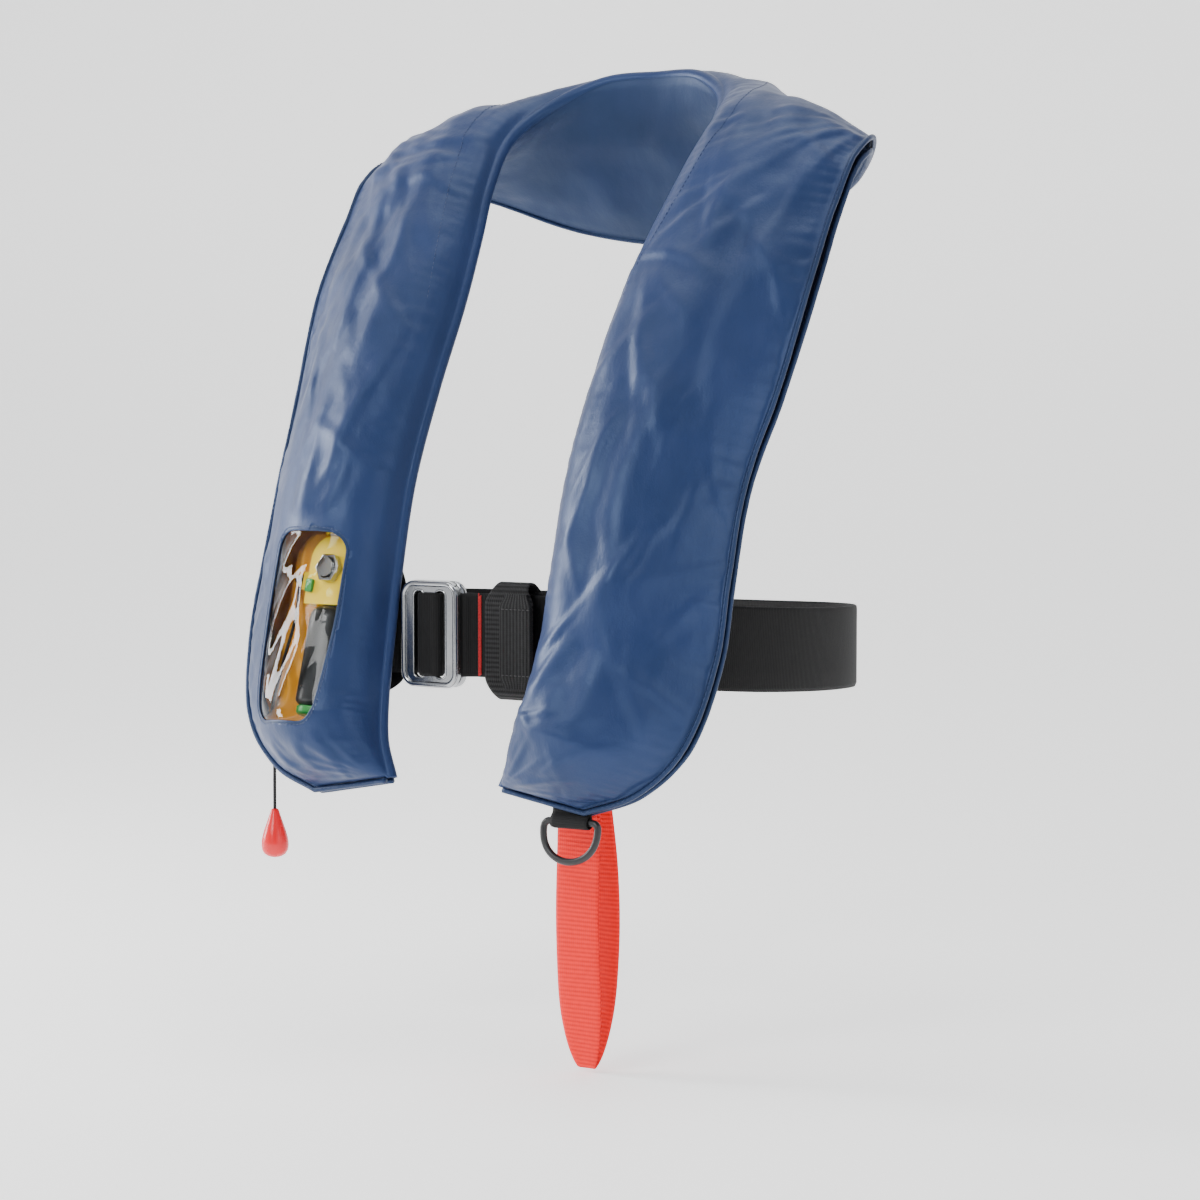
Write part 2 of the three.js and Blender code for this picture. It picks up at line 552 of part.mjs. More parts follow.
// ---- Harness loop -------------------------------------------------------------------------------
// A webbing ring round the belt. Its outline is drawn in the Y-Z plane and extruded across.
function ringStrap(outer, inner, width) {
  const shape = new THREE.Shape(outer.map(([y, z]) => new THREE.Vector2(y, z)));
  shape.holes.push(new THREE.Path(inner.map(([y, z]) => new THREE.Vector2(y, z))));
  const geometry = new THREE.ExtrudeGeometry(shape, { depth: width, bevelEnabled: false });
  const toYZ = new THREE.Matrix4().makeBasis(V(0, 1, 0), V(0, 0, 1), V(1, 0, 0));
  return moved(geometry.applyMatrix4(toYZ), -width / 2, 0, 0);
}
function ovalOutline(yBack, yFront, zLow, zHigh, count = 24) {
  const [cy, cz] = [(yBack + yFront) / 2, (zLow + zHigh) / 2];
  return Array.from({ length: count }, (_, i) => {
    const a = (2 * Math.PI * i) / count;
    const corner = (v) => Math.sign(v) * Math.abs(v) ** 0.55;
    return [
      cy + ((yBack - yFront) / 2) * corner(Math.cos(a)),
      cz + ((zHigh - zLow) / 2) * corner(Math.sin(a)),
    ];
  });
}
const HARNESS = { x: 22.5, width: 35, low: -38, high: 33 };
add('harness_loop', moved(ringStrap(
  ovalOutline(-105.5, -122, HARNESS.low, HARNESS.high),
  ovalOutline(-107.7, -119.8, HARNESS.low + 3, HARNESS.high - 3), HARNESS.width), HARNESS.x, 0, 0),
  BLACK_WEBBING);
add('loop_keeper', moved(plate(roundedRect(24, 56, 2), 2), 29, -122 - GAP, -2), BLACK_WEBBING);

// ---- D-ring and crotch strap on the left lobe -----------------------------------------------------
const bottomEdge = surfaceGroup(0, 0.82);
const DRING = { z: -10, half: 18, rod: 2.1 };
const dPath = [
  ...[-1, -0.5, 0, 0.5, 1].map((t) => V(t * DRING.half, 0, 0)),
  ...Array.from({ length: 13 }, (_, i) => {
    const a = (Math.PI * i) / 12;
    return V(DRING.half * Math.cos(a), 0, -4 - 19 * Math.sin(a) ** 0.85);
  }),
];
function ringTube(points, outline) {
  const n = points.length;
  return sweep(outline, points.map((at, i) => {
    const along = points[(i + 1) % n].clone().sub(points[(i + n - 1) % n]).normalize();
    return { at, u: V(0, 1, 0), v: along.clone().cross(V(0, 1, 0)) };
  }), true);
}
add('d_ring', moved(ringTube(dPath, circle(DRING.rod, 10)), 0, 0, DRING.z), BLACK_PLASTIC, bottomEdge);
const tabLoop = [[-0.75, 3], [-0.75, -5], [-2.4, -7.4], [-3.4, -10], [-2.4, -12.6], [0, -13.6],
  [2.4, -12.6], [3.4, -10], [2.4, -7.4], [0.75, -5], [0.75, 3]].map(([y, z]) => [0, y, z]);
add('d_ring_tab', strap(smoothLine(tabLoop, 26), 25, 1, V(1, 0, 0)), BLACK_WEBBING, bottomEdge);

// The crotch strap is a loop of webbing in the Y-Z plane. Its top goes round the link's lower bar.
const CROTCH = { x: 76, width: 30, thickness: 1.8 };
const crotchLine = new THREE.CatmullRomCurve3([[-121.5, -63], [-125.2, -70], [-126.6, -110], [-127.5, -170],
  [-124.5, -225], [-118, -251], [-111.5, -228], [-106.5, -180], [-108, -130], [-114, -95], [-117.8, -72]]
  .map(([y, z]) => V(CROTCH.x, y, z)), true).getPoints(44).slice(0, -1);
function loopStrap(points, width, thickness) {
  const n = points.length;
  const [w, t] = [width / 2, thickness / 2];
  return sweep([[-t, -w], [t, -w], [t, w], [-t, w]], points.map((at, i) => {
    const along = points[(i + 1) % n].clone().sub(points[(i + n - 1) % n]).normalize();
    return { at, u: V(1, 0, 0).cross(along), v: V(1, 0, 0) };
  }), true);
}
add('crotch_strap', loopStrap(crotchLine, CROTCH.width, CROTCH.thickness), RED_WEBBING);
const LINK = { y: -121.5, low: -72, high: -54, half: 19 };
const linkPath = [[1, 0], [1, 1], [0, 1], [-1, 1], [-1, 0], [-1, -1], [0, -1], [1, -1]].map(([x, z]) => V(
  CROTCH.x + x * LINK.half, LINK.y, (LINK.low + LINK.high) / 2 + (z * (LINK.high - LINK.low)) / 2));
add('strap_link', ringTube(linkPath, circle(1.5, 8)), BLACK_PLASTIC);
const behindCover = loft((s, w) => yokePoint(s, w, false, -GAP), (s, w) => yokeFrame(s, w).at);
const anchorLoop = [[-130, -38], [-125.4, -44], [-124.2, -54], [-123.6, -56.6], [-121.5, -57.6],
  [-119.4, -56.6], [-118.8, -54], [-119.4, -45], [-124.4, -35]].map(([y, z]) => [CROTCH.x, y, z]);
add('strap_anchor', cut(strap(smoothLine(anchorLoop, 22), 28, 1.2, V(1, 0, 0)), behindCover), RED_WEBBING);

// ---- Back strap and belt keepers --------------------------------------------------------------------
const backLine = [[0, 134, 262], [0, 131, 240], [0, 126, 208], [0, 123, 180]];
const backLoop = [[0, 119.8, -34], [0, 119, -40], [0, 116, -43], [0, 113, -40], [0, 112.2, -34],
  [0, 112.2, 12]];
const STRAP_RUN = { from: V(0, 123, 180), to: V(0, 119.8, 16) };
add('back_strap', strap([
  ...smoothLine(backLine, 10),
  STRAP_RUN.to,
  ...smoothLine(backLoop, 18),
], 40, WEB_THICK, V(1, 0, 0)), BLACK_WEBBING);

const sliderAt = STRAP_RUN.from.clone().lerp(STRAP_RUN.to, 0.5);
const slider = new THREE.Group();
slider.position.copy(sliderAt);
slider.rotation.x = -Math.atan2(STRAP_RUN.from.y - STRAP_RUN.to.y, STRAP_RUN.from.z - STRAP_RUN.to.z);
root.add(slider);
add('strap_slider', cut(
  moved(plate(roundedRect(50, 24, 3), 7), 0, 3.5, 0),
  new THREE.BoxGeometry(41.5, 3.2, 40),
  moved(new THREE.BoxGeometry(42, 8, 6), 0, 4.5, 6),
  moved(new THREE.BoxGeometry(42, 8, 6), 0, 4.5, -6)), BLACK_PLASTIC, slider);

const keeperLine = [[80, -110, 43], [80, -104.6, 34], [80, -101.6, 25], [80, -101.6, -22],
  [80, -106, -30], [80, -114, -34], [80, -121, -36]];
const keeper = (line) => toGeometry(toSolid(strap(smoothLine(line, 16), 25, 1.4, V(1, 0, 0)))
  .subtract(toSolid(behindCover)).decompose().sort((a, b) => b.volume() - a.volume())[0]);
add('belt_keeper_left', keeper(keeperLine), BLACK_WEBBING);
add('belt_keeper_right', keeper(keeperLine.map(mirrored)), BLACK_WEBBING);

// The frame's origin is the centre of the bottom of the whole part's box.
const box = new THREE.Box3().setFromObject(root);
root.position.set(-(box.min.x + box.max.x) / 2, -(box.min.y + box.max.y) / 2, -box.min.z);
const model = new THREE.Group();
model.add(root);
export default model;
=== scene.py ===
"""Looks for the inflatable life jacket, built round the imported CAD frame."""

import math

import bmesh
import bpy
import numpy as np
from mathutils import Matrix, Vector


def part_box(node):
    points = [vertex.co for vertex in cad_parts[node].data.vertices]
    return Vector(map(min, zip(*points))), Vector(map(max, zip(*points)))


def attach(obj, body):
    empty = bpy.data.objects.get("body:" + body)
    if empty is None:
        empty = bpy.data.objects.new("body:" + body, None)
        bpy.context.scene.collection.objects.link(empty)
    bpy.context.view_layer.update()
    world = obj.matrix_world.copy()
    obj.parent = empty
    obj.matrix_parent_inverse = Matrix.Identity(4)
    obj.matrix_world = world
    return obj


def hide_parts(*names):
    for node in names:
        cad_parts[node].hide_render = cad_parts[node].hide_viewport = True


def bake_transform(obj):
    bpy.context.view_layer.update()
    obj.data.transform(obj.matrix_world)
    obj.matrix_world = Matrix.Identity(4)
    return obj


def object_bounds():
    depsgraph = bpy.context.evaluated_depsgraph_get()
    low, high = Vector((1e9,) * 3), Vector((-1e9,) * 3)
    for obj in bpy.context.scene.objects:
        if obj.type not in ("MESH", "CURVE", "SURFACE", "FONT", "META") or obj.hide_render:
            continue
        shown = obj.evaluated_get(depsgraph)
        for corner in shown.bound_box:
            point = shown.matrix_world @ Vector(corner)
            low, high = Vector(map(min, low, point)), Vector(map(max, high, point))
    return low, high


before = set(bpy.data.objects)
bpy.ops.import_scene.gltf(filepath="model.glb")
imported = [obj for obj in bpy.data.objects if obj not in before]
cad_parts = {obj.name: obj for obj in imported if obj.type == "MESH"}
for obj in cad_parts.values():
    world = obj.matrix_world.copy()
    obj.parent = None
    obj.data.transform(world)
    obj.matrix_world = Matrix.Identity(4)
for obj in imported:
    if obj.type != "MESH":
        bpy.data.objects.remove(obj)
CAD_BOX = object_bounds()
MM = 0.001

# ---- Places, from the frame ------------------------------------------------------------------
# The torso frame has its origin on the body's axis at the belt's mid height. The left stitch bar
# lies on the belt's front face, 45 mm to the wearer's left of the centre line.
BAR_ACROSS = 45 * MM
BAR_FORWARD = 112.9 * MM
BAR_LOW, BAR_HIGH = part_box("stitch_bar_left")
ORIGIN = np.array([
    (BAR_LOW.x + BAR_HIGH.x) / 2 - BAR_ACROSS,
    BAR_LOW.y + BAR_FORWARD,
    (BAR_LOW.z + BAR_HIGH.z) / 2,
])

# Each station of the yoke: a point on the neck-side edge and one on the outer edge, in mm.
STATIONS = [
    ((42, -152, -83), (98, -150, -93)),
    ((50, -149, -64), (130, -146, -81)),
    ((56, -141, -40), (155, -139, -56)),
    ((60, -130, -5), (167, -124, -8)),
    ((61, -121, 35), (167, -112, 35)),
    ((61, -107, 90), (167, -94, 90)),
    ((61, -83, 145), (173, -66, 145)),
    ((63, -52, 200), (178, -38, 205)),
    ((68, -28, 240), (178, -12, 250)),
    ((74, -6, 275), (179, 8, 280)),
    ((77, 21, 306), (176, 32, 292)),
    ((64, 50, 328), (136, 84, 276)),
    ((36, 68, 343), (76, 110, 254)),
    ((0, 75, 345), (0, 119, 245)),
]
LOBE_PUFF = 37  # how far the front cover bulges over the lobes, in mm, and the next two elsewhere
SHOULDER_PUFF = 17
BACK_PUFF = 6
RIDGE_AT = 0.4  # the share of the way across at which the cover stands highest
RIM = 3.1  # how far each cover stands off the mid-surface along its edges


def place(points):
    """Torso-frame millimetres to row-frame metres."""
    return np.asarray(points, float) * MM + ORIGIN


def unit(vectors):
    return vectors / np.linalg.norm(vectors, axis=-1, keepdims=True)


def smoothstep(x, low, high):
    t = np.clip((np.asarray(x, float) - low) / (high - low), 0, 1)
    return t * t * (3 - 2 * t)


def spline(points):
    """A centripetal Catmull-Rom curve through points, as a function of 0..1."""
    p = np.asarray(points, float)
    p = np.vstack([2 * p[0] - p[1], p, 2 * p[-1] - p[-2]])

    def at(t):
        t = np.clip(np.asarray(t, float), 0, 1) * (len(p) - 3)
        i = np.minimum(t.astype(int), len(p) - 4)
        u = (t - i)[..., None]
        p0, p1, p2, p3 = p[i], p[i + 1], p[i + 2], p[i + 3]
        d0, d1, d2 = (
            np.sqrt(np.linalg.norm(b - a, axis=-1, keepdims=True))
            for a, b in ((p0, p1), (p1, p2), (p2, p3))
        )
        m1 = ((p1 - p0) / d0 - (p2 - p0) / (d0 + d1) + (p2 - p1) / d1) * d1
        m2 = ((p2 - p1) / d1 - (p3 - p1) / (d1 + d2) + (p3 - p2) / d2) * d1
        return (
            p1 + m1 * u
            + (-3 * p1 + 3 * p2 - 2 * m1 - m2) * u ** 2
            + (2 * p1 - 2 * p2 + m1 + m2) * u ** 3
        )

    return at


def run_along(points):
    """The distance from the first point to each one."""
    return np.concatenate([[0], np.cumsum(np.linalg.norm(np.diff(points, axis=0), axis=1))])


def along_line(points, run, distance):
    return np.stack([np.interp(distance, run, points[:, k]) for k in range(3)], -1)


def even_points(points, count):
    """Points evenly spaced along a smooth line through the given ones."""
    fine = spline(points)(np.linspace(0, 1, 60 * len(points)))
    run = run_along(fine)
    return along_line(fine, run, np.linspace(0, run[-1], count))


def mirrored(point):
    return (-point[0], *point[1:])


def whole_edge(side):
    half = [station[side] for station in STATIONS]
    return spline(half + [mirrored(p) for p in half[-2::-1]])


INNER_EDGE, OUTER_EDGE = whole_edge(0), whole_edge(1)


def yoke_frame(s, w):
    """Mid-surface points, the direction across and the outward normal, in torso mm."""
    s, w = np.broadcast_arrays(np.asarray(s, float), np.asarray(w, float))

    def on(t):
        return INNER_EDGE(t) * (1 - w[..., None]) + OUTER_EDGE(t) * w[..., None]

    along = unit(on(s + 0.004) - on(s - 0.004))
    across = unit(OUTER_EDGE(s) - INNER_EDGE(s))
    return on(s), across, unit(np.cross(across, along))


def fullness(s, w):
    end = np.minimum(s, 1 - s)
    closing = np.minimum(1, end / 0.06) ** 0.6
    inner = (1 - np.clip(1 - w / RIDGE_AT, 0, 1) ** 2.8) ** 0.55
    outer = 1 - np.clip((w - RIDGE_AT) / (1 - RIDGE_AT), 0, 1) ** 1.9
    return closing * np.where(w < RIDGE_AT, inner, outer)


def gape(s):
    """How far the closure between the covers' edges opens, in mm: most in front of each shoulder."""
    end = np.minimum(s, 1 - s)
    return 3.2 * np.exp(-((end - 0.27) / 0.055) ** 2) + 1.6 * np.exp(-((end - 0.4) / 0.03) ** 2)


def yoke(s, w, front, lift=0):
    """Points of the front or back cover's outer face, lift mm proud of it."""
    s, w = np.broadcast_arrays(np.asarray(s, float), np.asarray(w, float))
    at, _, normal = yoke_frame(s, w)
    lobes = 1 - smoothstep(np.minimum(s, 1 - s), 0.16, 0.36)
    puff = SHOULDER_PUFF + (LOBE_PUFF - SHOULDER_PUFF) * lobes if front else BACK_PUFF
    distance = RIM + puff * fullness(s, w) + lift + (gape(s) * np.maximum(w, 0) ** 8 if front else 0)
    distance = distance[..., None]
    return at + normal * distance * (1 if front else -1)


def step_at(edge, axis, value, low=0.0, high=0.3):
    """Where along the left half of an edge a coordinate reaches a value."""
    rising = edge(high)[axis] > edge(low)[axis]
    for _ in range(40):
        middle = (low + high) / 2
        if (edge(middle)[axis] < value) == rising:
            low = middle
        else:
            high = middle
    return (low + high) / 2


class Patch:
    """A local frame on the yoke's mid-surface: x level to the wearer's left, -y outward, z up."""

    def __init__(self, s, w):
        at, _, normal = yoke_frame(s, w)
        self.at = at
        y = -normal
        z = unit(np.array([0, 0, 1.0]) - y * y[2])
        self.axes = np.stack([np.cross(y, z), y, z], 1)

    def out(self, points):
        return np.asarray(points, float) @ self.axes.T + self.at

    def into(self, points):
        return (np.asarray(points, float) - self.at) @ self.axes


WINDOW = {"width": 56, "height": 119, "corner": 13, "across": 0.39}
WINDOW_STEP = 1 - step_at(INNER_EDGE, 2, -4)
RIGHT = Patch(WINDOW_STEP, WINDOW["across"])
LEFT = Patch(step_at(INNER_EDGE, 2, 70), 0.42)
BOTTOM = Patch(0.0, 0.82)


# ---- Meshes -----------------------------------------------------------------------------------
def mesh_object(name, points, faces, material, uv=None):
    """A mesh object from row-frame points. uv is one pair per point, in metres of cloth."""
    mesh = bpy.data.meshes.new(name)
    mesh.from_pydata([tuple(p) for p in points], [], [tuple(int(i) for i in f) for f in faces])
    if uv is not None:
        layer = mesh.uv_layers.new(name="cloth")
        corner = np.zeros(len(mesh.loops), np.int32)
        mesh.loops.foreach_get("vertex_index", corner)
        layer.data.foreach_set("uv", np.asarray(uv, np.float32)[corner].ravel())
    mesh.polygons.foreach_set("use_smooth", [True] * len(mesh.polygons))
    mesh.materials.append(material)
    mesh.validate()
    mesh.update()
    obj = bpy.data.objects.new(name, mesh)
    bpy.context.scene.collection.objects.link(obj)
    return obj


def finish_piece(obj, *nodes, body="harness"):
    """Puts a piece on its body, and in place of the CAD nodes it stands for."""
    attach(obj, body)
    if nodes:
        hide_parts(*nodes)


def grid_faces(rows, columns, ring_rows=False, ring_columns=False, flip=False):
    faces = []
    for i in range(rows if ring_rows else rows - 1):
        for j in range(columns if ring_columns else columns - 1):
            a, b = i * columns + j, i * columns + (j + 1) % columns
            c = ((i + 1) % rows) * columns + (j + 1) % columns
            d = ((i + 1) % rows) * columns + j
            faces.append((a, d, c, b) if flip else (a, b, c, d))
    return faces


def end_faces(rows, columns):
    """The two faces that close a tube of rings."""
    return [tuple(range(columns)), tuple((rows - 1) * columns + k for k in range(columns))]


def line_frames(points, side, closed=False):
    """Unit vectors along a line, then two across it, the second near the given direction."""
    p = np.asarray(points, float)
    if closed:
        along = unit(np.roll(p, -1, 0) - np.roll(p, 1, 0))
    else:
        along = unit(np.vstack([p[1:2] - p[:1], p[2:] - p[:-2], p[-1:] - p[-2:-1]]))
    side = np.broadcast_to(np.asarray(side, float), p.shape)
    v = unit(side - along * np.sum(side * along, 1, keepdims=True))
    return along, np.cross(v, along), v


def sweep(name, points, outline, side, material, closed=False, scale=None):
    """A solid swept along torso-frame points. The outline is [across the thickness, across the width]."""
    p = np.asarray(points, float)
    outline = np.asarray(outline, float)
    _, u, v = line_frames(p, side, closed)
    grow = np.ones(len(p)) if scale is None else np.asarray(scale, float)
    ring = (
        p[:, None] + (u[:, None] * outline[None, :, :1] + v[:, None] * outline[None, :, 1:])
        * grow[:, None, None]
    )
    rows, columns = ring.shape[:2]
    faces = grid_faces(rows, columns, closed, True)
    if not closed:
        faces += end_faces(rows, columns)
    run = run_along(p) * MM
    uv = np.stack(np.broadcast_arrays(run[:, None], outline[None, :, 1] * MM), -1)
    obj = mesh_object(name, place(ring.reshape(-1, 3)), faces, material, uv=uv.reshape(-1, 2))
    fix_normals(obj)
    return obj


def fix_normals(obj):
    work = bmesh.new()
    work.from_mesh(obj.data)
    bmesh.ops.recalc_face_normals(work, faces=work.faces)
    work.to_mesh(obj.data)
    work.free()


def circle(radius, sides):
    angle = np.arange(sides) * 2 * math.pi / sides
    return np.stack([radius * np.cos(angle), radius * np.sin(angle)], 1)


def webbing_outline(width, thickness):
    """A strap's cross-section, with soft edges slightly thinner than the middle."""
    w, t = width / 2, thickness / 2
    half = [(-t, -w + 2.2), (-t, -w / 2), (-t, 0), (-t, w / 2), (-t, w - 2.2), (-t * 0.8, w - 0.7), (0, w)]
    return half + [(-a, -b) for a, b in half]


def strap(name, points, side, width, thickness, material, count=None):
    line = even_points(points, count) if count else points
    return sweep(name, line, webbing_outline(width, thickness), side, material)


def tube(name, points, radius, material, sides=12, side=(0.13, 0.21, 1), closed=False):
    return sweep(name, points, circle(radius, sides), side, material, closed)


def lathe(name, profile, patch, at, material, sides):
    """A turned solid about an upright line through a point, in a patch's frame or the torso's."""
    radius, height = np.asarray(profile, float).T
    angle = np.arange(sides) * 2 * math.pi / sides
    x = radius[:, None] * np.cos(angle)
    y = radius[:, None] * np.sin(angle)
    z = np.broadcast_to(height[:, None], x.shape)
    local = np.stack([x, y, z], -1) + np.asarray(at, float)
    faces = grid_faces(len(radius), sides, False, True) + end_faces(len(radius), sides)
    points = local.reshape(-1, 3) if patch is None else patch.out(local.reshape(-1, 3))
    obj = mesh_object(name, place(points), faces, material)
    fix_normals(obj)
    return obj


def rounded_profile(corners, radius=0.8, steps=4):
    """A turned profile with its corners rounded."""
    corners = [np.asarray(c, float) for c in corners]
    result = [corners[0]]
    for before, at, after in zip(corners, corners[1:], corners[2:]):
        a, b = before - at, after - at
        cut = min(radius, np.linalg.norm(a) * 0.45, np.linalg.norm(b) * 0.45)
        start, stop = at + unit(a) * cut, at + unit(b) * cut
        for t in np.linspace(0, 1, steps + 1):
            result.append((1 - t) ** 2 * start + 2 * t * (1 - t) * at + t * t * stop)
    return result + [corners[-1]]


def modifier(obj, kind, **settings):
    made = obj.modifiers.new(kind.lower(), kind)
    for key, value in settings.items():
        setattr(made, key, value)
    return made


def stitches(name, points, outward, material, pitch=3.2, length=2.2, radius=0.32):
    """A row of sewn stitches lying along a line of torso-frame points."""
    p = np.asarray(points, float)
    run = run_along(p)
    outward = np.broadcast_to(np.asarray(outward, float), p.shape)
    verts, faces = [], []
    profile = [(-0.5, 0.35), (-0.38, 0.9), (0, 1.0), (0.38, 0.9), (0.5, 0.35)]
    sides = 6
    for centre in np.arange(pitch / 2, run[-1], pitch):
        at = along_line(p, run, centre)
        up = along_line(outward, run, centre)
        along = along_line(p, run, min(centre + 0.5, run[-1])) - at
        if np.linalg.norm(along) < 1e-6:
            continue
        along = unit(along)
        up = unit(up - along * (up @ along))
        across = np.cross(along, up)
        base = len(verts)
        for t, grow in profile:
            for k in range(sides):
                a = 2 * math.pi * k / sides
                offset = across * math.cos(a) + up * math.sin(a)
                sink = up * (0.25 - 1.2 * t * t) * radius
                verts.append(at + along * t * length + offset * radius * grow + sink)
        rings = len(profile)
        stitch = grid_faces(rings, sides, False, True) + end_faces(rings, sides)
        faces += [tuple(base + i for i in f) for f in stitch]
    obj = mesh_object(name, place(np.array(verts)), faces, material)
    fix_normals(obj)
    return obj


# ---- Materials --------------------------------------------------------------------------------
class Nodes:
    """A small helper round a node tree."""

    def __init__(self, tree):
        self.nodes, self.links = tree.nodes, tree.links

    def give(self, socket, value):
        """Links another node's output to a socket, or sets its plain value."""
        if isinstance(value, bpy.types.NodeSocket):
            self.links.new(value, socket)
        else:
            socket.default_value = value

    def node(self, kind, **settings):
        """A new node. An input's name is written with _ for its spaces."""
        made = self.nodes.new("ShaderNode" + kind)
        for key, value in settings.items():
            if key.replace("_", " ") in made.inputs:
                self.give(made.inputs[key.replace("_", " ")], value)
            else:
                setattr(made, key, value)
        return made

    def math(self, operation, a, b=0.0):
        made = self.node("Math", operation=operation)
        self.give(made.inputs[0], a)
        self.give(made.inputs[1], b)
        return made.outputs[0]

    def ramp(self, factor, low, high, low_value, high_value):
        limits = {"From_Min": low, "From_Max": high, "To_Min": low_value, "To_Max": high_value}
        return self.node("MapRange", Value=factor, **limits).outputs["Result"]

    def split(self, vector):
        return self.node("SeparateXYZ", Vector=vector).outputs


class Shader(Nodes):
    """A material with one Principled shader."""

    def __init__(self, name, color, roughness, metallic=0.0, **inputs):
        self.material = bpy.data.materials.new(name)
        self.material.use_nodes = True
        super().__init__(self.material.node_tree)
        self.shader = self.nodes["Principled BSDF"]
        self.set("Base Color", (*color, 1))
        self.set("Roughness", roughness)
        self.set("Metallic", metallic)
        for key, value in inputs.items():
            self.set(key.replace("_", " "), value)

    def set(self, socket, value):
        self.give(self.shader.inputs[socket], value)

    def cloth_uv(self):
        cloth = self.split(self.node("UVMap", uv_map="cloth").outputs["UV"])
        return cloth[0], cloth[1]

    def noise(self, scale, detail=3.0, roughness=0.5, stretch=None):
        at = self.node("NewGeometry").outputs["Position"]
        if stretch:
            at = self.node("Mapping", Vector=at, Scale=stretch).outputs[0]
        settings = {"Vector": at, "Scale": scale, "Detail": detail, "Roughness": roughness}
        return self.node("TexNoise", **settings).outputs["Fac"]

    def mix(self, factor, a, b):
        made = self.node("Mix", data_type="RGBA")
        for socket, value in ((0, factor), (6, (*a, 1)), (7, (*b, 1))):
            self.give(made.inputs[socket], value)
        return made.outputs[2]

    def bump(self, height, distance, strength=1.0, under=None):
        made = self.node("Bump", Height=height, Strength=strength, Distance=distance)
        if under:
            self.give(made.inputs["Normal"], under)
        self.set("Normal", made.outputs["Normal"])
        return made.outputs["Normal"]


def wave(shader, coordinate, pitch):
    """A smooth ridge pattern, 0..1, repeating every pitch metres."""
    turned = shader.math("MULTIPLY", coordinate, 2 * math.pi / pitch)
    return shader.math("MULTIPLY_ADD", shader.math("SINE", turned), 0.5)


def nylon(name, color, dark, roughness=0.42, glint=(0.5, 0.68, 1.0)):
    """Thin satin nylon: fine weave, small crinkles and a soft sheen."""
    s = Shader(name, color, roughness, Sheen_Weight=0.05, Sheen_Roughness=0.4)
    s.set("Sheen Tint", (0.55, 0.68, 1.0, 1))
    s.set("Specular IOR Level", 0.5)
    s.set("Specular Tint", (*glint, 1))
    cloud = s.noise(14, 4)
    s.set("Base Color", s.mix(s.ramp(cloud, 0.3, 0.7, 0, 1), color, dark))
    s.set("Roughness", s.ramp(s.noise(60, 3), 0.3, 0.7, roughness - 0.05, roughness + 0.08))
    crinkle = s.bump(s.noise(85, 4, 0.6, (1, 1, 0.45)), 0.0009, 0.55)
    s.bump(s.noise(900, 2), 0.00012, 0.6, crinkle)
    return s.material


def webbing(name, color, light, pitch, roughness=0.72, along=True, depth=0.00035):
    """Woven webbing: ribs across or along the strap, a fine crossing yarn, and painted shade in the rib
    grooves.
    """
    s = Shader(name, color, roughness, Sheen_Weight=0.02, Sheen_Roughness=0.5)
    s.set("Specular IOR Level", 0.2)
    u, v = s.cloth_uv()
    rib = wave(s, u if along else v, pitch)
    yarn = wave(s, v if along else u, pitch * 0.55)
    fuzz = s.noise(420, 3)
    # Painted shade and highlight: the colour is darker in the rib grooves and lighter on the rib tops; the
    # fuzz adds random tone.
    rib_shade_and_fuzz = s.math("ADD", s.math("MULTIPLY", rib, 0.7), s.math("MULTIPLY", fuzz, 0.5))
    s.set("Base Color", s.mix(s.ramp(rib_shade_and_fuzz, 0.2, 1.0, 0, 1), color, light))
    first = s.bump(rib, depth, 0.9)
    second = s.bump(yarn, depth * 0.4, 0.8, first)
    s.bump(fuzz, 0.0002, 0.5, second)
    return s.material


def plastic(name, color, roughness, grain=0.00006, **inputs):
    s = Shader(name, color, roughness, **inputs)
    s.set("Roughness", s.ramp(s.noise(120, 3), 0.3, 0.7, roughness * 0.85, roughness * 1.2))
    s.bump(s.noise(700, 2), grain, 0.6)
    return s.material


def polished_steel():
    s = Shader("steel", (0.45, 0.46, 0.48), 0.14, 1.0)
    smudge = s.noise(38, 4, 0.6)
    s.set("Roughness", s.ramp(smudge, 0.35, 0.7, 0.1, 0.3))
    s.set("Base Color", s.mix(s.ramp(smudge, 0.3, 0.75, 0, 1), (0.5, 0.51, 0.52), (0.3, 0.31, 0.32)))
    s.bump(s.noise(900, 2, 0.5, (1, 1, 0.06)), 0.00005, 0.5)
    return s.material


def clear_vinyl():
    """A clear film: mostly see-through, with a bright glossy reflection on its ripples."""
    material = bpy.data.materials.new("clear_vinyl")
    material.use_nodes = True
    tree = Nodes(material.node_tree)
    tree.nodes.clear()
    place_at = tree.node("NewGeometry").outputs["Position"]
    height = tree.node("TexNoise", Vector=place_at, Scale=70).outputs["Fac"]
    bump = tree.node("Bump", Height=height, Distance=0.0006, Strength=0.5).outputs["Normal"]
    clear = tree.node("BsdfTransparent", Color=(0.99, 0.99, 0.97, 1))
    gloss = tree.node("BsdfGlossy", Roughness=0.06, Color=(1, 1, 1, 1), Normal=bump)
    edge = tree.node("Fresnel", IOR=1.33, Normal=bump)
    mix = tree.node("MixShader")
    for socket, source in enumerate((edge, clear, gloss)):
        tree.give(mix.inputs[socket], source.outputs[0])
    tree.node("OutputMaterial", Surface=mix.outputs[0])
    return material


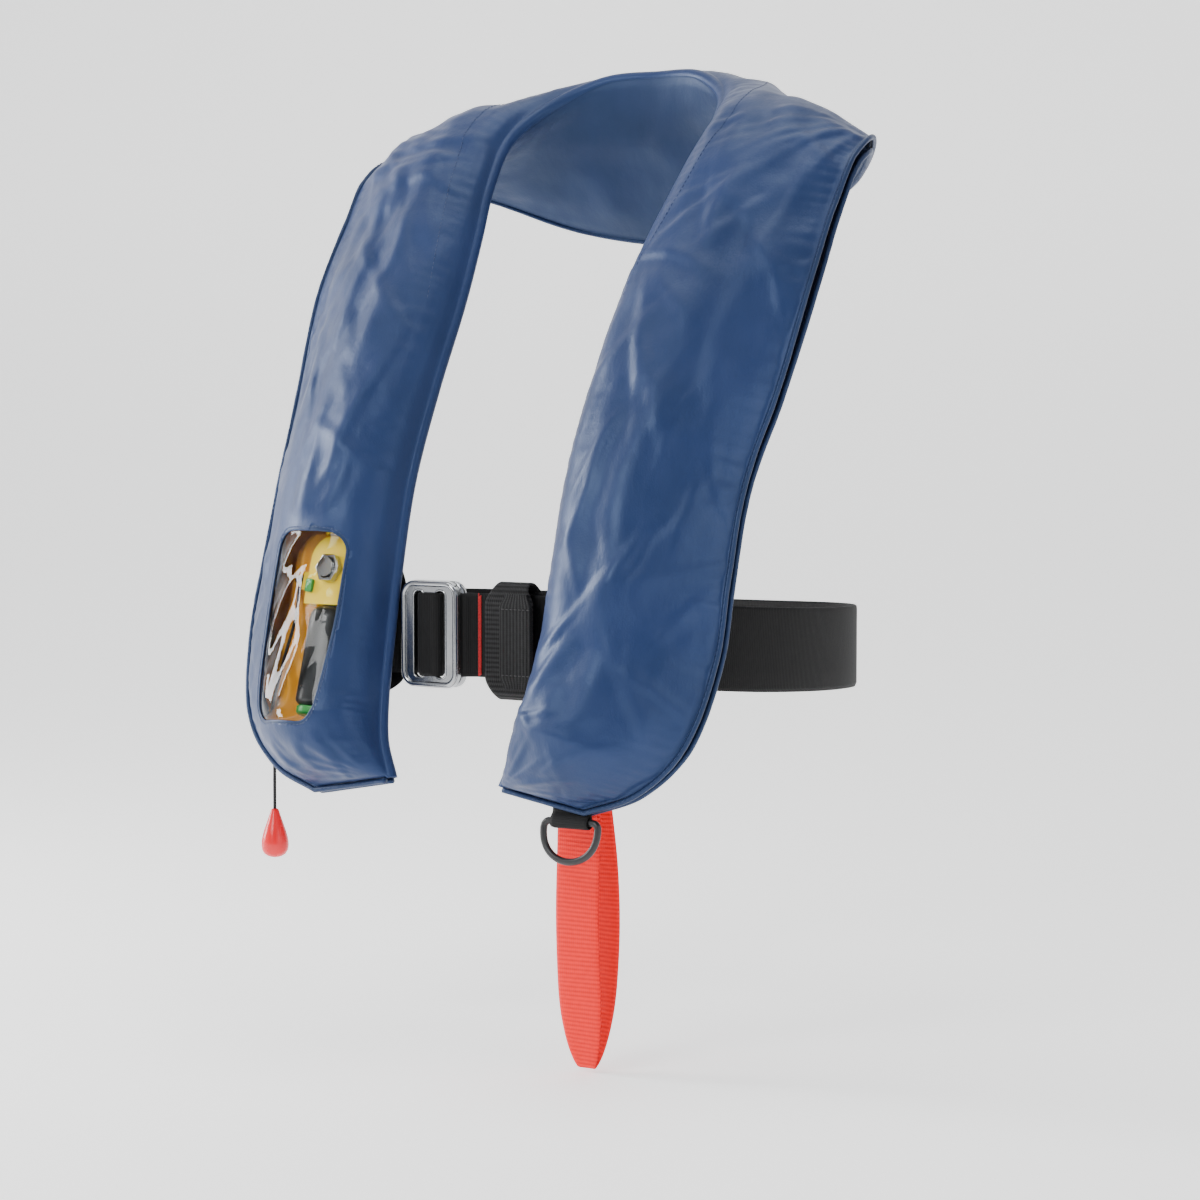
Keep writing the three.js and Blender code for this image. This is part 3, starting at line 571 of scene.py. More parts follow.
NAVY = nylon("navy_nylon", (0.015, 0.029, 0.094), (0.010, 0.021, 0.070))
# A darker copy of the cover's navy: painted shade along the piping and the window's turned edge.
NAVY_SHADED_EDGE = nylon("navy_piping_shaded", (0.009, 0.02, 0.066), (0.007, 0.016, 0.05), 0.42)
NAVY_LINING = nylon("navy_lining", (0.011, 0.023, 0.072), (0.008, 0.017, 0.052), 0.5)
NAVY_THREAD = plastic("navy_thread", (0.018, 0.036, 0.105), 0.6)
# Each webbing's second colour is its lighter rib-top tone: painted highlight against painted shade in the
# grooves.
BLACK_RIBBED = webbing("black_webbing", (0.003, 0.003, 0.003), (0.022, 0.022, 0.023), 0.0028,
                       depth=0.0006)
BLACK_SMOOTH = webbing("black_belt", (0.0035, 0.0035, 0.0035), (0.007, 0.007, 0.0075), 0.0012, 0.66,
                       depth=0.00012)
BLACK_LENGTHWISE = webbing("black_keeper", (0.004, 0.004, 0.004), (0.018, 0.018, 0.019), 0.0024, 0.7,
                           along=False)
RED_RIBBED = webbing("red_webbing", (0.72, 0.002, 0.002), (0.95, 0.008, 0.006), 0.0026, 0.6)
RED_THREAD = plastic("red_thread", (0.4, 0.008, 0.01), 0.6)
BLACK_THREAD = plastic("black_thread", (0.02, 0.02, 0.021), 0.6)
STEEL = polished_steel()
ORANGE = nylon("orange_chamber", (1.0, 0.47, 0.03), (0.85, 0.36, 0.02), 0.42, (1, 0.9, 0.7))
VINYL = clear_vinyl()
YELLOW = plastic("yellow_plastic", (1.0, 0.68, 0.01), 0.32, Subsurface_Weight=0.1)
GREEN = plastic("green_plastic", (0.01, 0.28, 0.04), 0.35)
RED_PLASTIC = plastic("red_plastic", (0.72, 0.006, 0.014), 0.25, Subsurface_Weight=0.08)
BLACK_PLASTIC = plastic("black_plastic", (0.012, 0.012, 0.013), 0.38)
WHITE_PLASTIC = plastic("white_plastic", (0.78, 0.78, 0.75), 0.45)
GREY_PAINT = plastic("grey_paint", (0.018, 0.021, 0.024), 0.3, 0.00008, Metallic=0.3)
RUBBER = plastic("black_rubber", (0.01, 0.01, 0.01), 0.7)
CORD = webbing("black_cord", (0.008, 0.008, 0.009), (0.035, 0.035, 0.035), 0.0016)


# ---- Cover cloth ------------------------------------------------------------------------------
STEPS, SPANS = 440, 46  # cells of the front cover along and across
STEP_LIST = np.linspace(0, 1, STEPS + 1)
EVEN_SPANS = np.linspace(0, 1, SPANS + 1)
SPAN_LIST = 0.35 * (0.5 - 0.5 * np.cos(np.pi * EVEN_SPANS)) + 0.65 * EVEN_SPANS
CLOTH_LONG, CLOTH_WIDE = 1330, 108  # rough distances along and across the cloth, in mm
SOLVER_ROUNDS = 80


def window_distance(local):
    """Signed distance in the window's plane to its rounded outline, in mm."""
    corner = WINDOW["corner"]
    q = np.abs(local[..., [0, 2]]) - (WINDOW["width"] / 2, WINDOW["height"] / 2) + corner
    outside = np.linalg.norm(np.maximum(q, 0), axis=-1)
    return outside + np.minimum(np.max(q, axis=-1), 0) - corner


def crossed(a, b):
    return a[..., 0] * b[..., 1] - a[..., 1] * b[..., 0]


def find_steps(target, s, w):
    """The s and w whose cover point has the target x and z in the window's frame, from a guess."""
    small = 1e-4
    for _ in range(8):
        here = RIGHT.into(yoke(s, w, True))[..., [0, 2]]
        by_s = (RIGHT.into(yoke(s + small, w, True))[..., [0, 2]] - here) / small
        by_w = (RIGHT.into(yoke(s, w + small, True))[..., [0, 2]] - here) / small
        error = target - here
        area = crossed(by_s, by_w)
        s = s + np.clip(crossed(error, by_w) / area, -0.02, 0.02)
        w = w + np.clip(crossed(by_s, error) / area, -0.05, 0.05)
    return s, w


def on_window(x, z, lift=0.0):
    """Points of the cover's outer face at places in the window's plane, in torso mm."""
    x, z = np.broadcast_arrays(np.asarray(x, float), np.asarray(z, float))
    guess = np.full(x.shape, WINDOW_STEP), np.full(x.shape, WINDOW["across"])
    return yoke(*find_steps(np.stack([x, z], -1), *guess), True, lift)


def outline_point(share, margin=0.0):
    """A point on the window's rounded outline, for a share 0..1 of its length."""
    corner = WINDOW["corner"] + margin
    half = (WINDOW["width"] / 2 + margin - corner, WINDOW["height"] / 2 + margin - corner)
    arc = corner * math.pi / 2
    want = (np.asarray(share, float) % 1) * 4 * (sum(half) + arc)
    x, z = np.zeros_like(want), np.zeros_like(want)
    start = 0.0
    for k, (sx, sz) in enumerate(((1, 1), (-1, 1), (-1, -1), (1, -1))):
        side = 2 * half[(k + 1) % 2]
        back = side - np.clip(want - start, 0, side)
        turn = k * math.pi / 2
        angle = turn + np.clip(want - start - side, 0, arc) / corner
        here = want >= start
        x = np.where(here, sx * half[0] + back * math.sin(turn) + corner * np.cos(angle), x)
        z = np.where(here, sz * half[1] - back * math.cos(turn) + corner * np.sin(angle), z)
        start += side + arc
    return x, z


def smooth_noise(shape, cells, rng):
    """Random values interpolated smoothly over a grid."""
    coarse = rng.standard_normal((cells[0] + 3, cells[1] + 3))
    gi = np.linspace(0, cells[0], shape[0])
    gj = np.linspace(0, cells[1], shape[1])
    i, j = gi.astype(int).clip(0, cells[0]), gj.astype(int).clip(0, cells[1])
    u, v = (gi - i)[:, None], (gj - j)[None, :]
    u, v = u * u * (3 - 2 * u), v * v * (3 - 2 * v)
    a, b = coarse[np.ix_(i, j)], coarse[np.ix_(i + 1, j)]
    c, d = coarse[np.ix_(i, j + 1)], coarse[np.ix_(i + 1, j + 1)]
    return (a * (1 - u) + b * u) * (1 - v) + (c * (1 - u) + d * u) * v


def relax_cloth(points, held, normals, slack_along, slack_across, cap):
    """Cloth with more length than its frame: it buckles into folds while its held points stay.

    Distances between neighbours, and a stiffness against tight bends, are solved in turns.
    No point moves further than cap along its normal, in mm.
    """
    rng = np.random.default_rng(11)
    rest = points.copy()
    x = points.copy()
    start = smooth_noise(held.shape, (held.shape[0] // 6, held.shape[1] // 5), rng)
    start += 0.6 * smooth_noise(held.shape, (held.shape[0] // 14, held.shape[1] // 9), rng)
    free = ~held
    x += normals * (start * 0.5 * free)[..., None]
    grip = free.astype(float)

    def links(di, dj, slack, share):
        n, m = held.shape
        a = (slice(0, n - di), slice(0, m - dj) if dj >= 0 else slice(-dj, m))
        b = (slice(di, n), slice(dj, m) if dj >= 0 else slice(0, m + dj))
        length = np.linalg.norm(rest[b] - rest[a], axis=-1)
        return a, b, length * (1 + (slack[a] + slack[b]) / 2), share

    diagonal = (slack_along + slack_across) / 2
    springs = [
        links(1, 0, slack_along, 1.0), links(0, 1, slack_across, 1.0),
        links(1, 1, diagonal, 0.5), links(1, -1, diagonal, 0.5),
        links(4, 0, slack_along * 0.3, 0.12), links(0, 4, slack_across * 0.3, 0.12),
        links(2, 0, slack_along * 0.8, 0.3), links(0, 2, slack_across * 0.8, 0.3),
    ]
    for _ in range(SOLVER_ROUNDS):
        for a, b, length, share in springs:
            gap = x[b] - x[a]
            now = np.linalg.norm(gap, axis=-1)
            weight = grip[a] + grip[b]
            push = share * (now - length) / np.maximum(now, 1e-6) / np.maximum(weight, 1e-6)
            push = np.where(weight > 0, push, 0) * 0.45
            move = gap * push[..., None]
            x[a] += move * grip[a][..., None]
            x[b] -= move * grip[b][..., None]
        off = np.sum((x - rest) * normals, -1)
        limited = np.clip(off, -cap, cap * 0.8)
        x += normals * (limited - off)[..., None]
    return x


def smooth_folds(s, w, front):
    """Long soft folds in mm: they run down the lobes and spread over the shoulders."""
    side = np.where(s < 0.5, 0.0, 2.1)
    wander = 0.5 * np.sin(9 * s + side) + 0.3 * np.sin(23 * s + 1.3 + side)
    down = np.sin(2 * np.pi * (2.3 * w + 0.35 * wander) + side) * 0.9
    down += np.sin(2 * np.pi * (4.1 * w - 0.8 * wander + 1.7 * s) + 0.8) * 0.45
    slant = np.sin(2 * np.pi * (11 * s + 1.2 * w) + side) * 0.5
    slant += np.sin(2 * np.pi * (19 * s - 1.6 * w) + 2.4) * 0.3
    middle = np.clip(4 * w * (1 - w), 0, 1) ** 0.8
    ends = smoothstep(np.minimum(s, 1 - s), 0.0, 0.03)
    return (down + slant) * middle * ends * (1.0 if front else 0.5)


def creases(s, w, front):
    """Short sharp folds in mm, scattered over the cloth, and gathers along the seams."""
    rng = np.random.default_rng(23 if front else 31)
    run, reach = s * CLOTH_LONG, w * CLOTH_WIDE
    height = np.zeros_like(s)
    for _ in range(150):
        here_s, here_w = rng.uniform(0.01, 0.99), rng.uniform(0.04, 0.96)
        lobes = min(here_s, 1 - here_s) < 0.33
        angle = rng.normal(0, 0.42) if lobes else rng.normal(math.pi / 2, 0.5)
        long, wide, tall = rng.uniform(14, 46), rng.uniform(1.9, 4.2), rng.uniform(0.5, 1.5)
        dx, dy = run - here_s * CLOTH_LONG, reach - here_w * CLOTH_WIDE
        bow = rng.normal(0, 0.004)
        along = dx * math.cos(angle) + dy * math.sin(angle)
        away = dy * math.cos(angle) - dx * math.sin(angle) + bow * along ** 2
        steep = np.where(away < 0, 1.0, 2.6) * wide
        height += tall * np.exp(-(away / steep) ** 2) * np.exp(-(along / long) ** 4)
    # Folds fanning out of each shoulder corner and each bottom corner.
    for end_s, end_reach, share in ((0.385, 108, 1.0), (0.615, 108, 1.0), (0.0, 8, 0.8), (1.0, 8, 0.8)):
        dx, dy = run - end_s * CLOTH_LONG, reach - end_reach
        bearing, gap = np.arctan2(dy, dx + 1e-6), np.hypot(dx, dy)
        fan = np.abs(np.sin(bearing * 9.5 + 0.6 * np.sin(bearing * 3)))
        height += share * 1.5 * (1 - fan) ** 2 * smoothstep(gap, 6, 22) * (1 - smoothstep(gap, 38, 110))
    gather = np.sin(run * 2 * np.pi / 8.3 + 2.2 * np.sin(run * 0.11) + 1.3 * np.sin(run * 0.043))
    for edge_gap in ((1 - w) * CLOTH_WIDE, reach):
        strength = 0.42 * (1 + 0.6 * np.sin(run * 0.071 + 1.0)) * np.exp(-edge_gap / 8)
        height += gather * strength * smoothstep(edge_gap, 0.3, 3.5)
    return height * np.clip(5 * w, 0, 1) * np.clip(7 * (1 - w), 0, 1) ** 0.5 * (1.0 if front else 0.6)


FAR = 99.0  # stands for any distance well away from the window, in mm


def cover_grid(front):
    """The steps and spans of a cover's grid: the back cover's is half as fine."""
    return (STEP_LIST, SPAN_LIST) if front else (STEP_LIST[::2], SPAN_LIST[::2])


def cover_sheet(front):
    """One cover's grid, relaxed: s, w, points, normals and distances to the window's outline."""
    s, w = np.meshgrid(*cover_grid(front), indexing="ij")
    held = np.zeros(s.shape, bool)
    held[:, [0, -1]] = True
    held[[0, -1]] = True
    near = np.full(s.shape, FAR)
    if front:
        local = RIGHT.into(yoke(s, w, True))
        beside = (s > 0.5) & (np.abs(local[..., 1]) < 90)
        near = np.where(beside, window_distance(local), FAR)
        border = (np.abs(near) < 1.5) & (np.hypot(s - WINDOW_STEP, (w - WINDOW["across"]) * 0.1) < 0.2)
        target = snap_to_window(local[border][:, [0, 2]])
        s[border], w[border] = find_steps(target, s[border], w[border])
        held |= near < 2.2
    points = yoke(s, w, front)
    _, _, normal = yoke_frame(s, w)
    normal = normal if front else -normal
    calm = smoothstep(near, 2.0, 14.0)
    folds = smooth_folds(s, w, front) + creases(s, w, front)
    edge = np.exp(-np.minimum(w, 1 - w) / 0.09)
    ends = np.exp(-np.minimum(s, 1 - s) / 0.018)
    collar = smoothstep(np.minimum(s, 1 - s), 0.22, 0.3)
    along = (0.016 + 0.042 * edge + 0.03 * ends - 0.008 * collar) * (1.0 if front else 0.55)
    across = (0.010 + 0.012 * edge + 0.018 * ends) * (1.0 if front else 0.5)
    start = points + normal * (folds * calm)[..., None]
    start[held] = points[held]
    relaxed = relax_cloth(start, held, normal, along, across, 2.4 if front else 1.6)
    shift = (relaxed - points) * calm[..., None]
    around = shift[:-2, 1:-1] + shift[2:, 1:-1] + shift[1:-1, :-2] + shift[1:-1, 2:]
    shift[1:-1, 1:-1] = 0.5 * shift[1:-1, 1:-1] + 0.125 * around
    return s, w, points + shift, normal, near


def snap_to_window(places):
    """The nearest places on the window's outline, in its plane."""
    outline = np.stack(outline_point(np.linspace(0, 1, 1441)[:-1]), 1)
    gap = np.linalg.norm(places[:, None] - outline[None], axis=2)
    return outline[np.argmin(gap, axis=1)]


def cover_mesh(name, front, material):
    """A cover with its turned edges, as one sheet with thickness, and its relaxed points."""
    s, w, points, normal, near = cover_sheet(front)
    _, across, _ = yoke_frame(s, w)
    # The sheet runs on past its outer edge and ends to meet the piping.
    outer = points[:, -1] + across[:, -1] * 1.5
    if front:
        rim = [
            points[:, 0] - across[:, 0] * RIM * math.sin(a) - normal[:, 0] * RIM * (1 - math.cos(a))
            for a in np.radians([176, 150, 125, 100, 75, 50, 25])
        ]
    else:
        rim = [points[:, 0] - across[:, 0] * 0.8]
    sheet = np.concatenate([np.stack(rim, 1), points, outer[:, None]], 1)
    first = unit(sheet[0] - sheet[1]) * 1.4
    last = unit(sheet[-1] - sheet[-2]) * 1.4
    sheet = np.concatenate([[sheet[0] + first], sheet, [sheet[-1] + last]], 0)
    rows, columns = sheet.shape[:2]
    faces = grid_faces(rows, columns, flip=front)
    if front:
        # The window's opening: cells whose middle lies inside the outline.
        middle = (near[1:, 1:] + near[:-1, 1:] + near[1:, :-1] + near[:-1, :-1]) / 4
        i, j = np.nonzero(middle < 0)
        hole = set(((i + 1) * (columns - 1) + j + len(rim)).tolist())
        faces = [face for k, face in enumerate(faces) if k not in hole]
    obj = mesh_object(name, place(sheet.reshape(-1, 3)), faces, material)
    modifier(obj, "SUBSURF", levels=1, render_levels=1)
    modifier(obj, "SOLIDIFY", thickness=0.9 * MM, offset=-1)
    return obj, points


def on_front(s, w, lift=0.0):
    """Points of the relaxed front cover, lift mm proud of it."""
    s, w = np.broadcast_arrays(np.asarray(s, float), np.asarray(w, float))
    i = np.clip(np.searchsorted(STEP_LIST, s) - 1, 0, STEPS - 1)
    j = np.clip(np.searchsorted(SPAN_LIST, w) - 1, 0, SPANS - 1)
    u = ((s - STEP_LIST[i]) / (STEP_LIST[i + 1] - STEP_LIST[i]))[..., None]
    v = ((w - SPAN_LIST[j]) / (SPAN_LIST[j + 1] - SPAN_LIST[j]))[..., None]
    p = FRONT_POINTS
    found = (
        (p[i, j] * (1 - u) + p[i + 1, j] * u) * (1 - v)
        + (p[i, j + 1] * (1 - u) + p[i + 1, j + 1] * u) * v
    )
    _, _, normal = yoke_frame(s, w)
    return found + normal * lift


# ---- Cover, piping and window -----------------------------------------------------------------
cover_front, FRONT_POINTS = cover_mesh("cover_front_cloth", True, NAVY)
finish_piece(cover_front, "front_cover")
cover_back, _ = cover_mesh("cover_back_cloth", False, NAVY_LINING)
finish_piece(cover_back, "back_cover")


def piping_line(front):
    """The seam line round both lobes' ends and the outer edge, in torso mm."""
    ends, count = 26, 420
    spans, steps = np.linspace(0.02, 0.955, ends), np.linspace(0.0, 1.0, count)
    s = np.concatenate([np.zeros(ends), steps, np.ones(ends)])
    w = np.concatenate([spans, np.ones(count), spans[::-1]])
    line, _, normals = yoke_frame(s, w)
    tangent = unit(np.gradient(line, axis=0))
    # Rounding the two corners where the ends meet the outer edge.
    kernel = np.array([1, 2, 3, 4, 3, 2, 1], float)
    kernel /= kernel.sum()
    for _ in range(2):
        padded = np.pad(tangent, ((3, 3), (0, 0)), mode="edge")
        tangent = unit(sum(padded[k:k + len(line)] * kernel[k] for k in range(7)))
    out = unit(np.cross(tangent, normals))
    middle = OUTER_EDGE(0.5) - INNER_EDGE(0.5)
    if out[len(out) // 2] @ middle < 0:
        out = -out
    side = 1 if front else -1
    opening = np.concatenate([np.zeros(ends), gape(steps), np.zeros(ends)])[:, None] if front else 0
    return line + out * 2.7 + normals * side * (3.3 + opening), normals * side


for label, front in (("front", True), ("back", False)):
    line, up = piping_line(front)
    wobble = np.random.default_rng(5 + front).standard_normal(len(line))
    wobble = np.convolve(wobble, np.ones(5) / 5, "same")[:, None] * 0.3
    piping = tube(f"piping_{label}", line + up * wobble, 1.65, NAVY_SHADED_EDGE, 14)
    finish_piece(piping, f"{label}_piping")
    sewn = stitches(f"piping_stitches_{label}", line + up * 1.55, up, NAVY_THREAD, 3.4, 2.3, 0.22)
    finish_piece(sewn)

# The collar's smooth facing, lying on the cover along the neck.
COLLAR_STEPS = np.linspace(0.262, 0.738, 170)
COLLAR_START = 0.012
collar_s, collar_share = np.meshgrid(COLLAR_STEPS, np.linspace(0, 1, 13), indexing="ij")
collar_width = 0.03 + 0.17 * np.sin(np.pi * np.clip((collar_s - 0.25) / 0.5, 0, 1)) ** 0.7
facing = on_front(collar_s, COLLAR_START + collar_share * collar_width, 0.7)
facing[:, -1] = on_front(collar_s[:, -1], COLLAR_START + collar_width[:, -1], 0.05)
facing[:, 0] = on_front(collar_s[:, 0], COLLAR_START / 2, 0.1)
collar = mesh_object("collar_lining", place(facing.reshape(-1, 3)),
                     grid_faces(*collar_s.shape, flip=True), NAVY_LINING)
modifier(collar, "SUBSURF", levels=1, render_levels=1)
finish_piece(collar, "collar_facing")


def navy_stitches(name, line, up, pitch, length, radius):
    finish_piece(stitches(name, line, up, NAVY_THREAD, pitch, length, radius))


_, _, seam_up = yoke_frame(COLLAR_STEPS, collar_width[:, -2])
seam = on_front(COLLAR_STEPS, COLLAR_START + collar_width[:, -2], 1.0)
navy_stitches("collar_stitches", seam, seam_up, 3.4, 2.3, 0.24)

# The window: a turned edge with a row of stitches, and a clear film behind it.
# Each ring of the turned edge is grown from the outline and lifted off the cover, in mm.
EDGE_RINGS = [(-1.6, -1.1), (-1.9, 0.0), (-1.3, 0.75), (0.2, 0.95), (1.8, 0.8), (2.9, 0.15), (2.9, -0.5)]
TURN = np.linspace(0, 1, 181)[:-1]
rings = np.stack([on_window(*outline_point(TURN, margin), lift) for margin, lift in EDGE_RINGS], 0)
# The turned edge takes the darker navy: painted shade along the window's border.
binding = mesh_object("window_edge", place(rings.reshape(-1, 3)),
                      grid_faces(len(EDGE_RINGS), len(TURN), False, True), NAVY_SHADED_EDGE)
fix_normals(binding)
modifier(binding, "SUBSURF", levels=1, render_levels=1)
finish_piece(binding, "window_binding")
WINDOW_OUT = -RIGHT.axes[:, 1]
border_line = on_window(*outline_point(np.linspace(0, 1, 361), 0.5), 0.98)
navy_stitches("window_stitches", border_line, WINDOW_OUT, 2.8, 1.9, 0.22)
seam_x = np.linspace(-WINDOW["width"] / 2 - 3, -WINDOW["width"] / 2 - 20, 24)
navy_stitches("low_seam_stitches", on_window(seam_x, -52, 0.6), WINDOW_OUT, 2.8, 2.0, 0.26)

film_x, film_z = np.meshgrid(np.linspace(-29, 29, 49), np.linspace(-60.5, 60.5, 97), indexing="ij")
film_near = window_distance(np.stack([film_x, film_x * 0, film_z], -1))


def ridge(centre, reach, rise, wide):
    """A soft ridge in the film along a line given as x for each height, between two heights."""
    low, high = reach
    ends = smoothstep(film_z, low - 6, low + 4) * (1 - smoothstep(film_z, high - 4, high + 6))
    return rise * np.exp(-((film_x - centre) / wide) ** 2) * ends


ripple = (
    ridge(5.5 + 3.6 * np.sin(film_z * 0.075 + 2.2) + 0.03 * film_z, (-46, 34), 2.2, 6.0)
    + ridge(-15 + 0.42 * (film_z - 8), (-16, 26), 2.0, 5.0)
    + ridge(-12 + 0.55 * (film_z - 48), (34, 60), 1.8, 5.0)
    + ridge(-21 + 0.1 * (film_z + 38), (-48, -28), 1.4, 4.0)
    + 0.35 * np.sin(film_x * 0.31 - film_z * 0.11 + 2.0)
)
film_points = on_window(film_x, film_z, -0.6 + ripple * smoothstep(-film_near, 0, 12))
keep = (film_near < 1.5).ravel()
film_faces = [f for f in grid_faces(*film_x.shape, flip=True) if keep[list(f)].all()]
film = mesh_object("window_film", place(film_points.reshape(-1, 3)), film_faces, VINYL)
finish_piece(film, "window_pane")


# ---- Belt, buckle and harness loop ------------------------------------------------------------
ACROSS, FORWARD, UP = (1, 0, 0), (0, 1, 0), (0, 0, 1)
OUTWARD = (0, -1, 0)


def flat(points):
    return [(x, y, 0) for x, y in points]


def in_side(points, x=0.0):
    return [(x, y, z) for y, z in points]


def straight(start, stop, count=12):
    return np.linspace(start, stop, count)


RING_LOOP = [(-6, -113.6), (-9, -115.4), (-12.4, -118), (-16, -118.6), (-20.2, -118), (-21.6, -116),
             (-21.6, -113.4), (-20, -111.3), (-16, -111)]
PLATE_LOOP = [(-52, -111), (-46, -111.6), (-42.6, -114.4), (-41.8, -119), (-41.2, -124),
              (-38.6, -126.2), (-34, -126.4), (-29.4, -126.2), (-26.8, -124), (-26.8, -119.6),
              (-28.8, -117.4), (-33, -116.8), (-37, -116.6)]
BELT_SIDE = [(58, -111, 0), (80, -109, -1), (112, -97, -2), (150, -62, -5), (165, -5, -8),
             (157, 55, -10), (118, 98, -12), (55, 114, -13.5)]
belt_round = BELT_SIDE + [(0, 116, -14)] + [mirrored(p) for p in reversed(BELT_SIDE)]
belt_line = np.vstack([
    straight((3, -113.6, 0), (-6, -113.6, 0))[:-1],
    even_points(flat(RING_LOOP), 70)[:-1],
    straight((-16, -111, 0), (58, -111, 0), 40)[:-1],
    even_points(belt_round, 520),
    even_points(flat(PLATE_LOOP), 110),
])
belt = strap("belt_webbing", belt_line, UP, 50, 2.0, BLACK_SMOOTH)
finish_piece(belt, "waist_belt")


def bar_tack(name, x, y, node):
    """A dense red bar of thread across the belt."""
    for k, shift in enumerate((-0.75, 0.0, 0.75)):
        line = in_side([(y, z) for z in np.linspace(-24.3 + 0.4 * k, 24.3, 40)], x + shift)
        row = stitches(f"{name}_{k}", line, OUTWARD, RED_THREAD, 1.9, 2.1, 0.45)
        finish_piece(row, *([] if k else [node]))


bar_tack("red_bar_right", -3, -114.95, "stitch_bar_right")
bar_tack("red_bar_left", 48.5, -112.2, "stitch_bar_left")


def rounded_rectangle(at, width, height, corner, per_corner=10):
    """Centre-line of an upright rectangle with rounded corners, about a point."""
    points = []
    for k, (sx, sz) in enumerate(((1, 1), (-1, 1), (-1, -1), (1, -1))):
        for a in np.linspace(0, math.pi / 2, per_corner):
            turn = a + k * math.pi / 2
            points.append((
                at[0] + sx * (width / 2 - corner) + corner * math.cos(turn),
                at[1],
                at[2] + sz * (height / 2 - corner) + corner * math.sin(turn),
            ))
    return points


def superellipse(width, height, power=3.2, count=28):
    angle = np.arange(count) * 2 * math.pi / count
    c, s = np.cos(angle), np.sin(angle)
    x = np.sign(c) * np.abs(c) ** (2 / power) * width / 2
    y = np.sign(s) * np.abs(s) ** (2 / power) * height / 2
    return np.stack([x, y], 1)


ring_path = rounded_rectangle((-35.5, -114.9, 0), 40, 61, 6.5)
ring = sweep("buckle_ring_steel", ring_path, superellipse(3.0, 5.0), FORWARD, STEEL, True)
finish_piece(ring, "buckle_ring")
rim_path = rounded_rectangle((-34, -123.4, 0), 38.2, 60.2, 7.5)
rim = sweep("buckle_plate_rim", rim_path, superellipse(3.4, 3.8, 2.3), FORWARD, STEEL, True)
finish_piece(rim, body="buckle_plate")
for label, x in (("right", -42), ("left", -26)):
    lip_path = rounded_rectangle((x, -123.5, 0), 8.0, 53.0, 3.6)
    lip = tube(f"buckle_slot_lip_{label}", lip_path, 0.7, STEEL, 12, FORWARD, True)
    finish_piece(lip, body="buckle_plate")

LOOP_SIDE = [(-106.6, 0), (-106.6, 20), (-108.3, 29), (-113.6, 31.9), (-119.4, 28.5), (-120.9, 20),
             (-120.9, 0), (-120.9, -25), (-119.4, -33.5), (-113.6, -36.9), (-108.3, -34), (-106.6, -25)]
loop_line = even_points(in_side(LOOP_SIDE + LOOP_SIDE[:1], 22.5), 141)[:-1]
loop_taper = 1 - 0.3 * smoothstep(np.abs(loop_line[:, 2] + 2.5), 22, 34)
loop = sweep("harness_loop_webbing", loop_line, webbing_outline(35, 2.1), ACROSS,
             BLACK_RIBBED, True, loop_taper)
finish_piece(loop, "harness_loop", body="harness_loop")
keeper_z = np.linspace(-30, 26, 90)
keeper_y = -123.2 + 0.9 * smoothstep(np.abs(keeper_z + 2), 20, 28)
keeper_taper = 1 - 0.3 * smoothstep(keeper_z, 17, 26) - 0.22 * smoothstep(-keeper_z, 22, 30)
keeper = sweep("loop_keeper_webbing", in_side(zip(keeper_y, keeper_z), 29), webbing_outline(24, 2.2),
               ACROSS, BLACK_LENGTHWISE, False, keeper_taper)
finish_piece(keeper, "loop_keeper", body="harness_loop")


def level_row(name, x, y, z, thread, radius, body):
    """A level row of stitches facing forward, between two places across."""
    line = [(across, y, z) for across in x]
    finish_piece(stitches(name, line, OUTWARD, thread, 3.0, 2.1, radius), body=body)


for label, z in (("top", 17), ("bottom", -22)):
    level_row(f"keeper_stitches_{label}", np.linspace(19, 39, 20), -124.35, z, BLACK_THREAD, 0.34,
              "harness_loop")

# ---- D-ring, crotch strap and toggle ----------------------------------------------------------
D_ARC = [(18 * math.cos(a), 0, -14 - 19 * max(math.sin(a), 0) ** 0.85) for a in np.linspace(0, math.pi, 60)]
D_BAR = [(-17.6, 0, -12), (-16, 0, -10.4), (-14, 0, -10), (0, 0, -10), (14, 0, -10), (16, 0, -10.4),
         (17.6, 0, -12)]
ring_points = even_points(BOTTOM.out(D_BAR + D_ARC + D_BAR[:1]), 161)[:-1]
d_ring = tube("d_ring_rod", ring_points, 2.1, BLACK_PLASTIC, 20, BOTTOM.axes[:, 1], True)
finish_piece(d_ring, "d_ring", body="d_ring")
HALF_TAB = [(-0.75, 3), (-0.75, -1), (-0.75, -5), (-2.4, -7.4), (-3.4, -10), (-2.4, -12.6)]
tab_line = in_side(HALF_TAB + [(0, -13.6)] + [(-y, z) for y, z in reversed(HALF_TAB)])
tab = strap("d_ring_tab_webbing", BOTTOM.out(tab_line), BOTTOM.axes[:, 0], 25, 1.0, BLACK_SMOOTH, 90)
finish_piece(tab, "d_ring_tab")

CROTCH_X = 76  # the crotch strap hangs this far to the wearer's left
STRAP_LOOP = [(-121.5, -63), (-125.2, -70), (-126.6, -110), (-127.5, -170), (-124.5, -225),
              (-118, -251), (-111.5, -228), (-106.5, -180), (-108, -130), (-114, -95), (-117.8, -72)]
TAPER_FROM, TAPER_OVER = 200, 52  # the loop narrows to a rounded tip over its lowest part
strap_line = even_points(in_side(STRAP_LOOP + STRAP_LOOP[:1], CROTCH_X), 281)[:-1]
strap_run = np.linspace(0, 1, len(strap_line))
strap_line[:, 0] += np.sin(strap_run * 2 * math.pi * 3) * 0.6 * np.sin(strap_run * math.pi)
tip = np.clip((-strap_line[:, 2] - TAPER_FROM) / TAPER_OVER, 0, 1)
crotch = sweep("crotch_strap_webbing", strap_line, webbing_outline(30, 1.7), ACROSS, RED_RIBBED, True,
               np.sqrt(1 - 0.88 * tip ** 2))
finish_piece(crotch, "crotch_strap", body="crotch_strap")
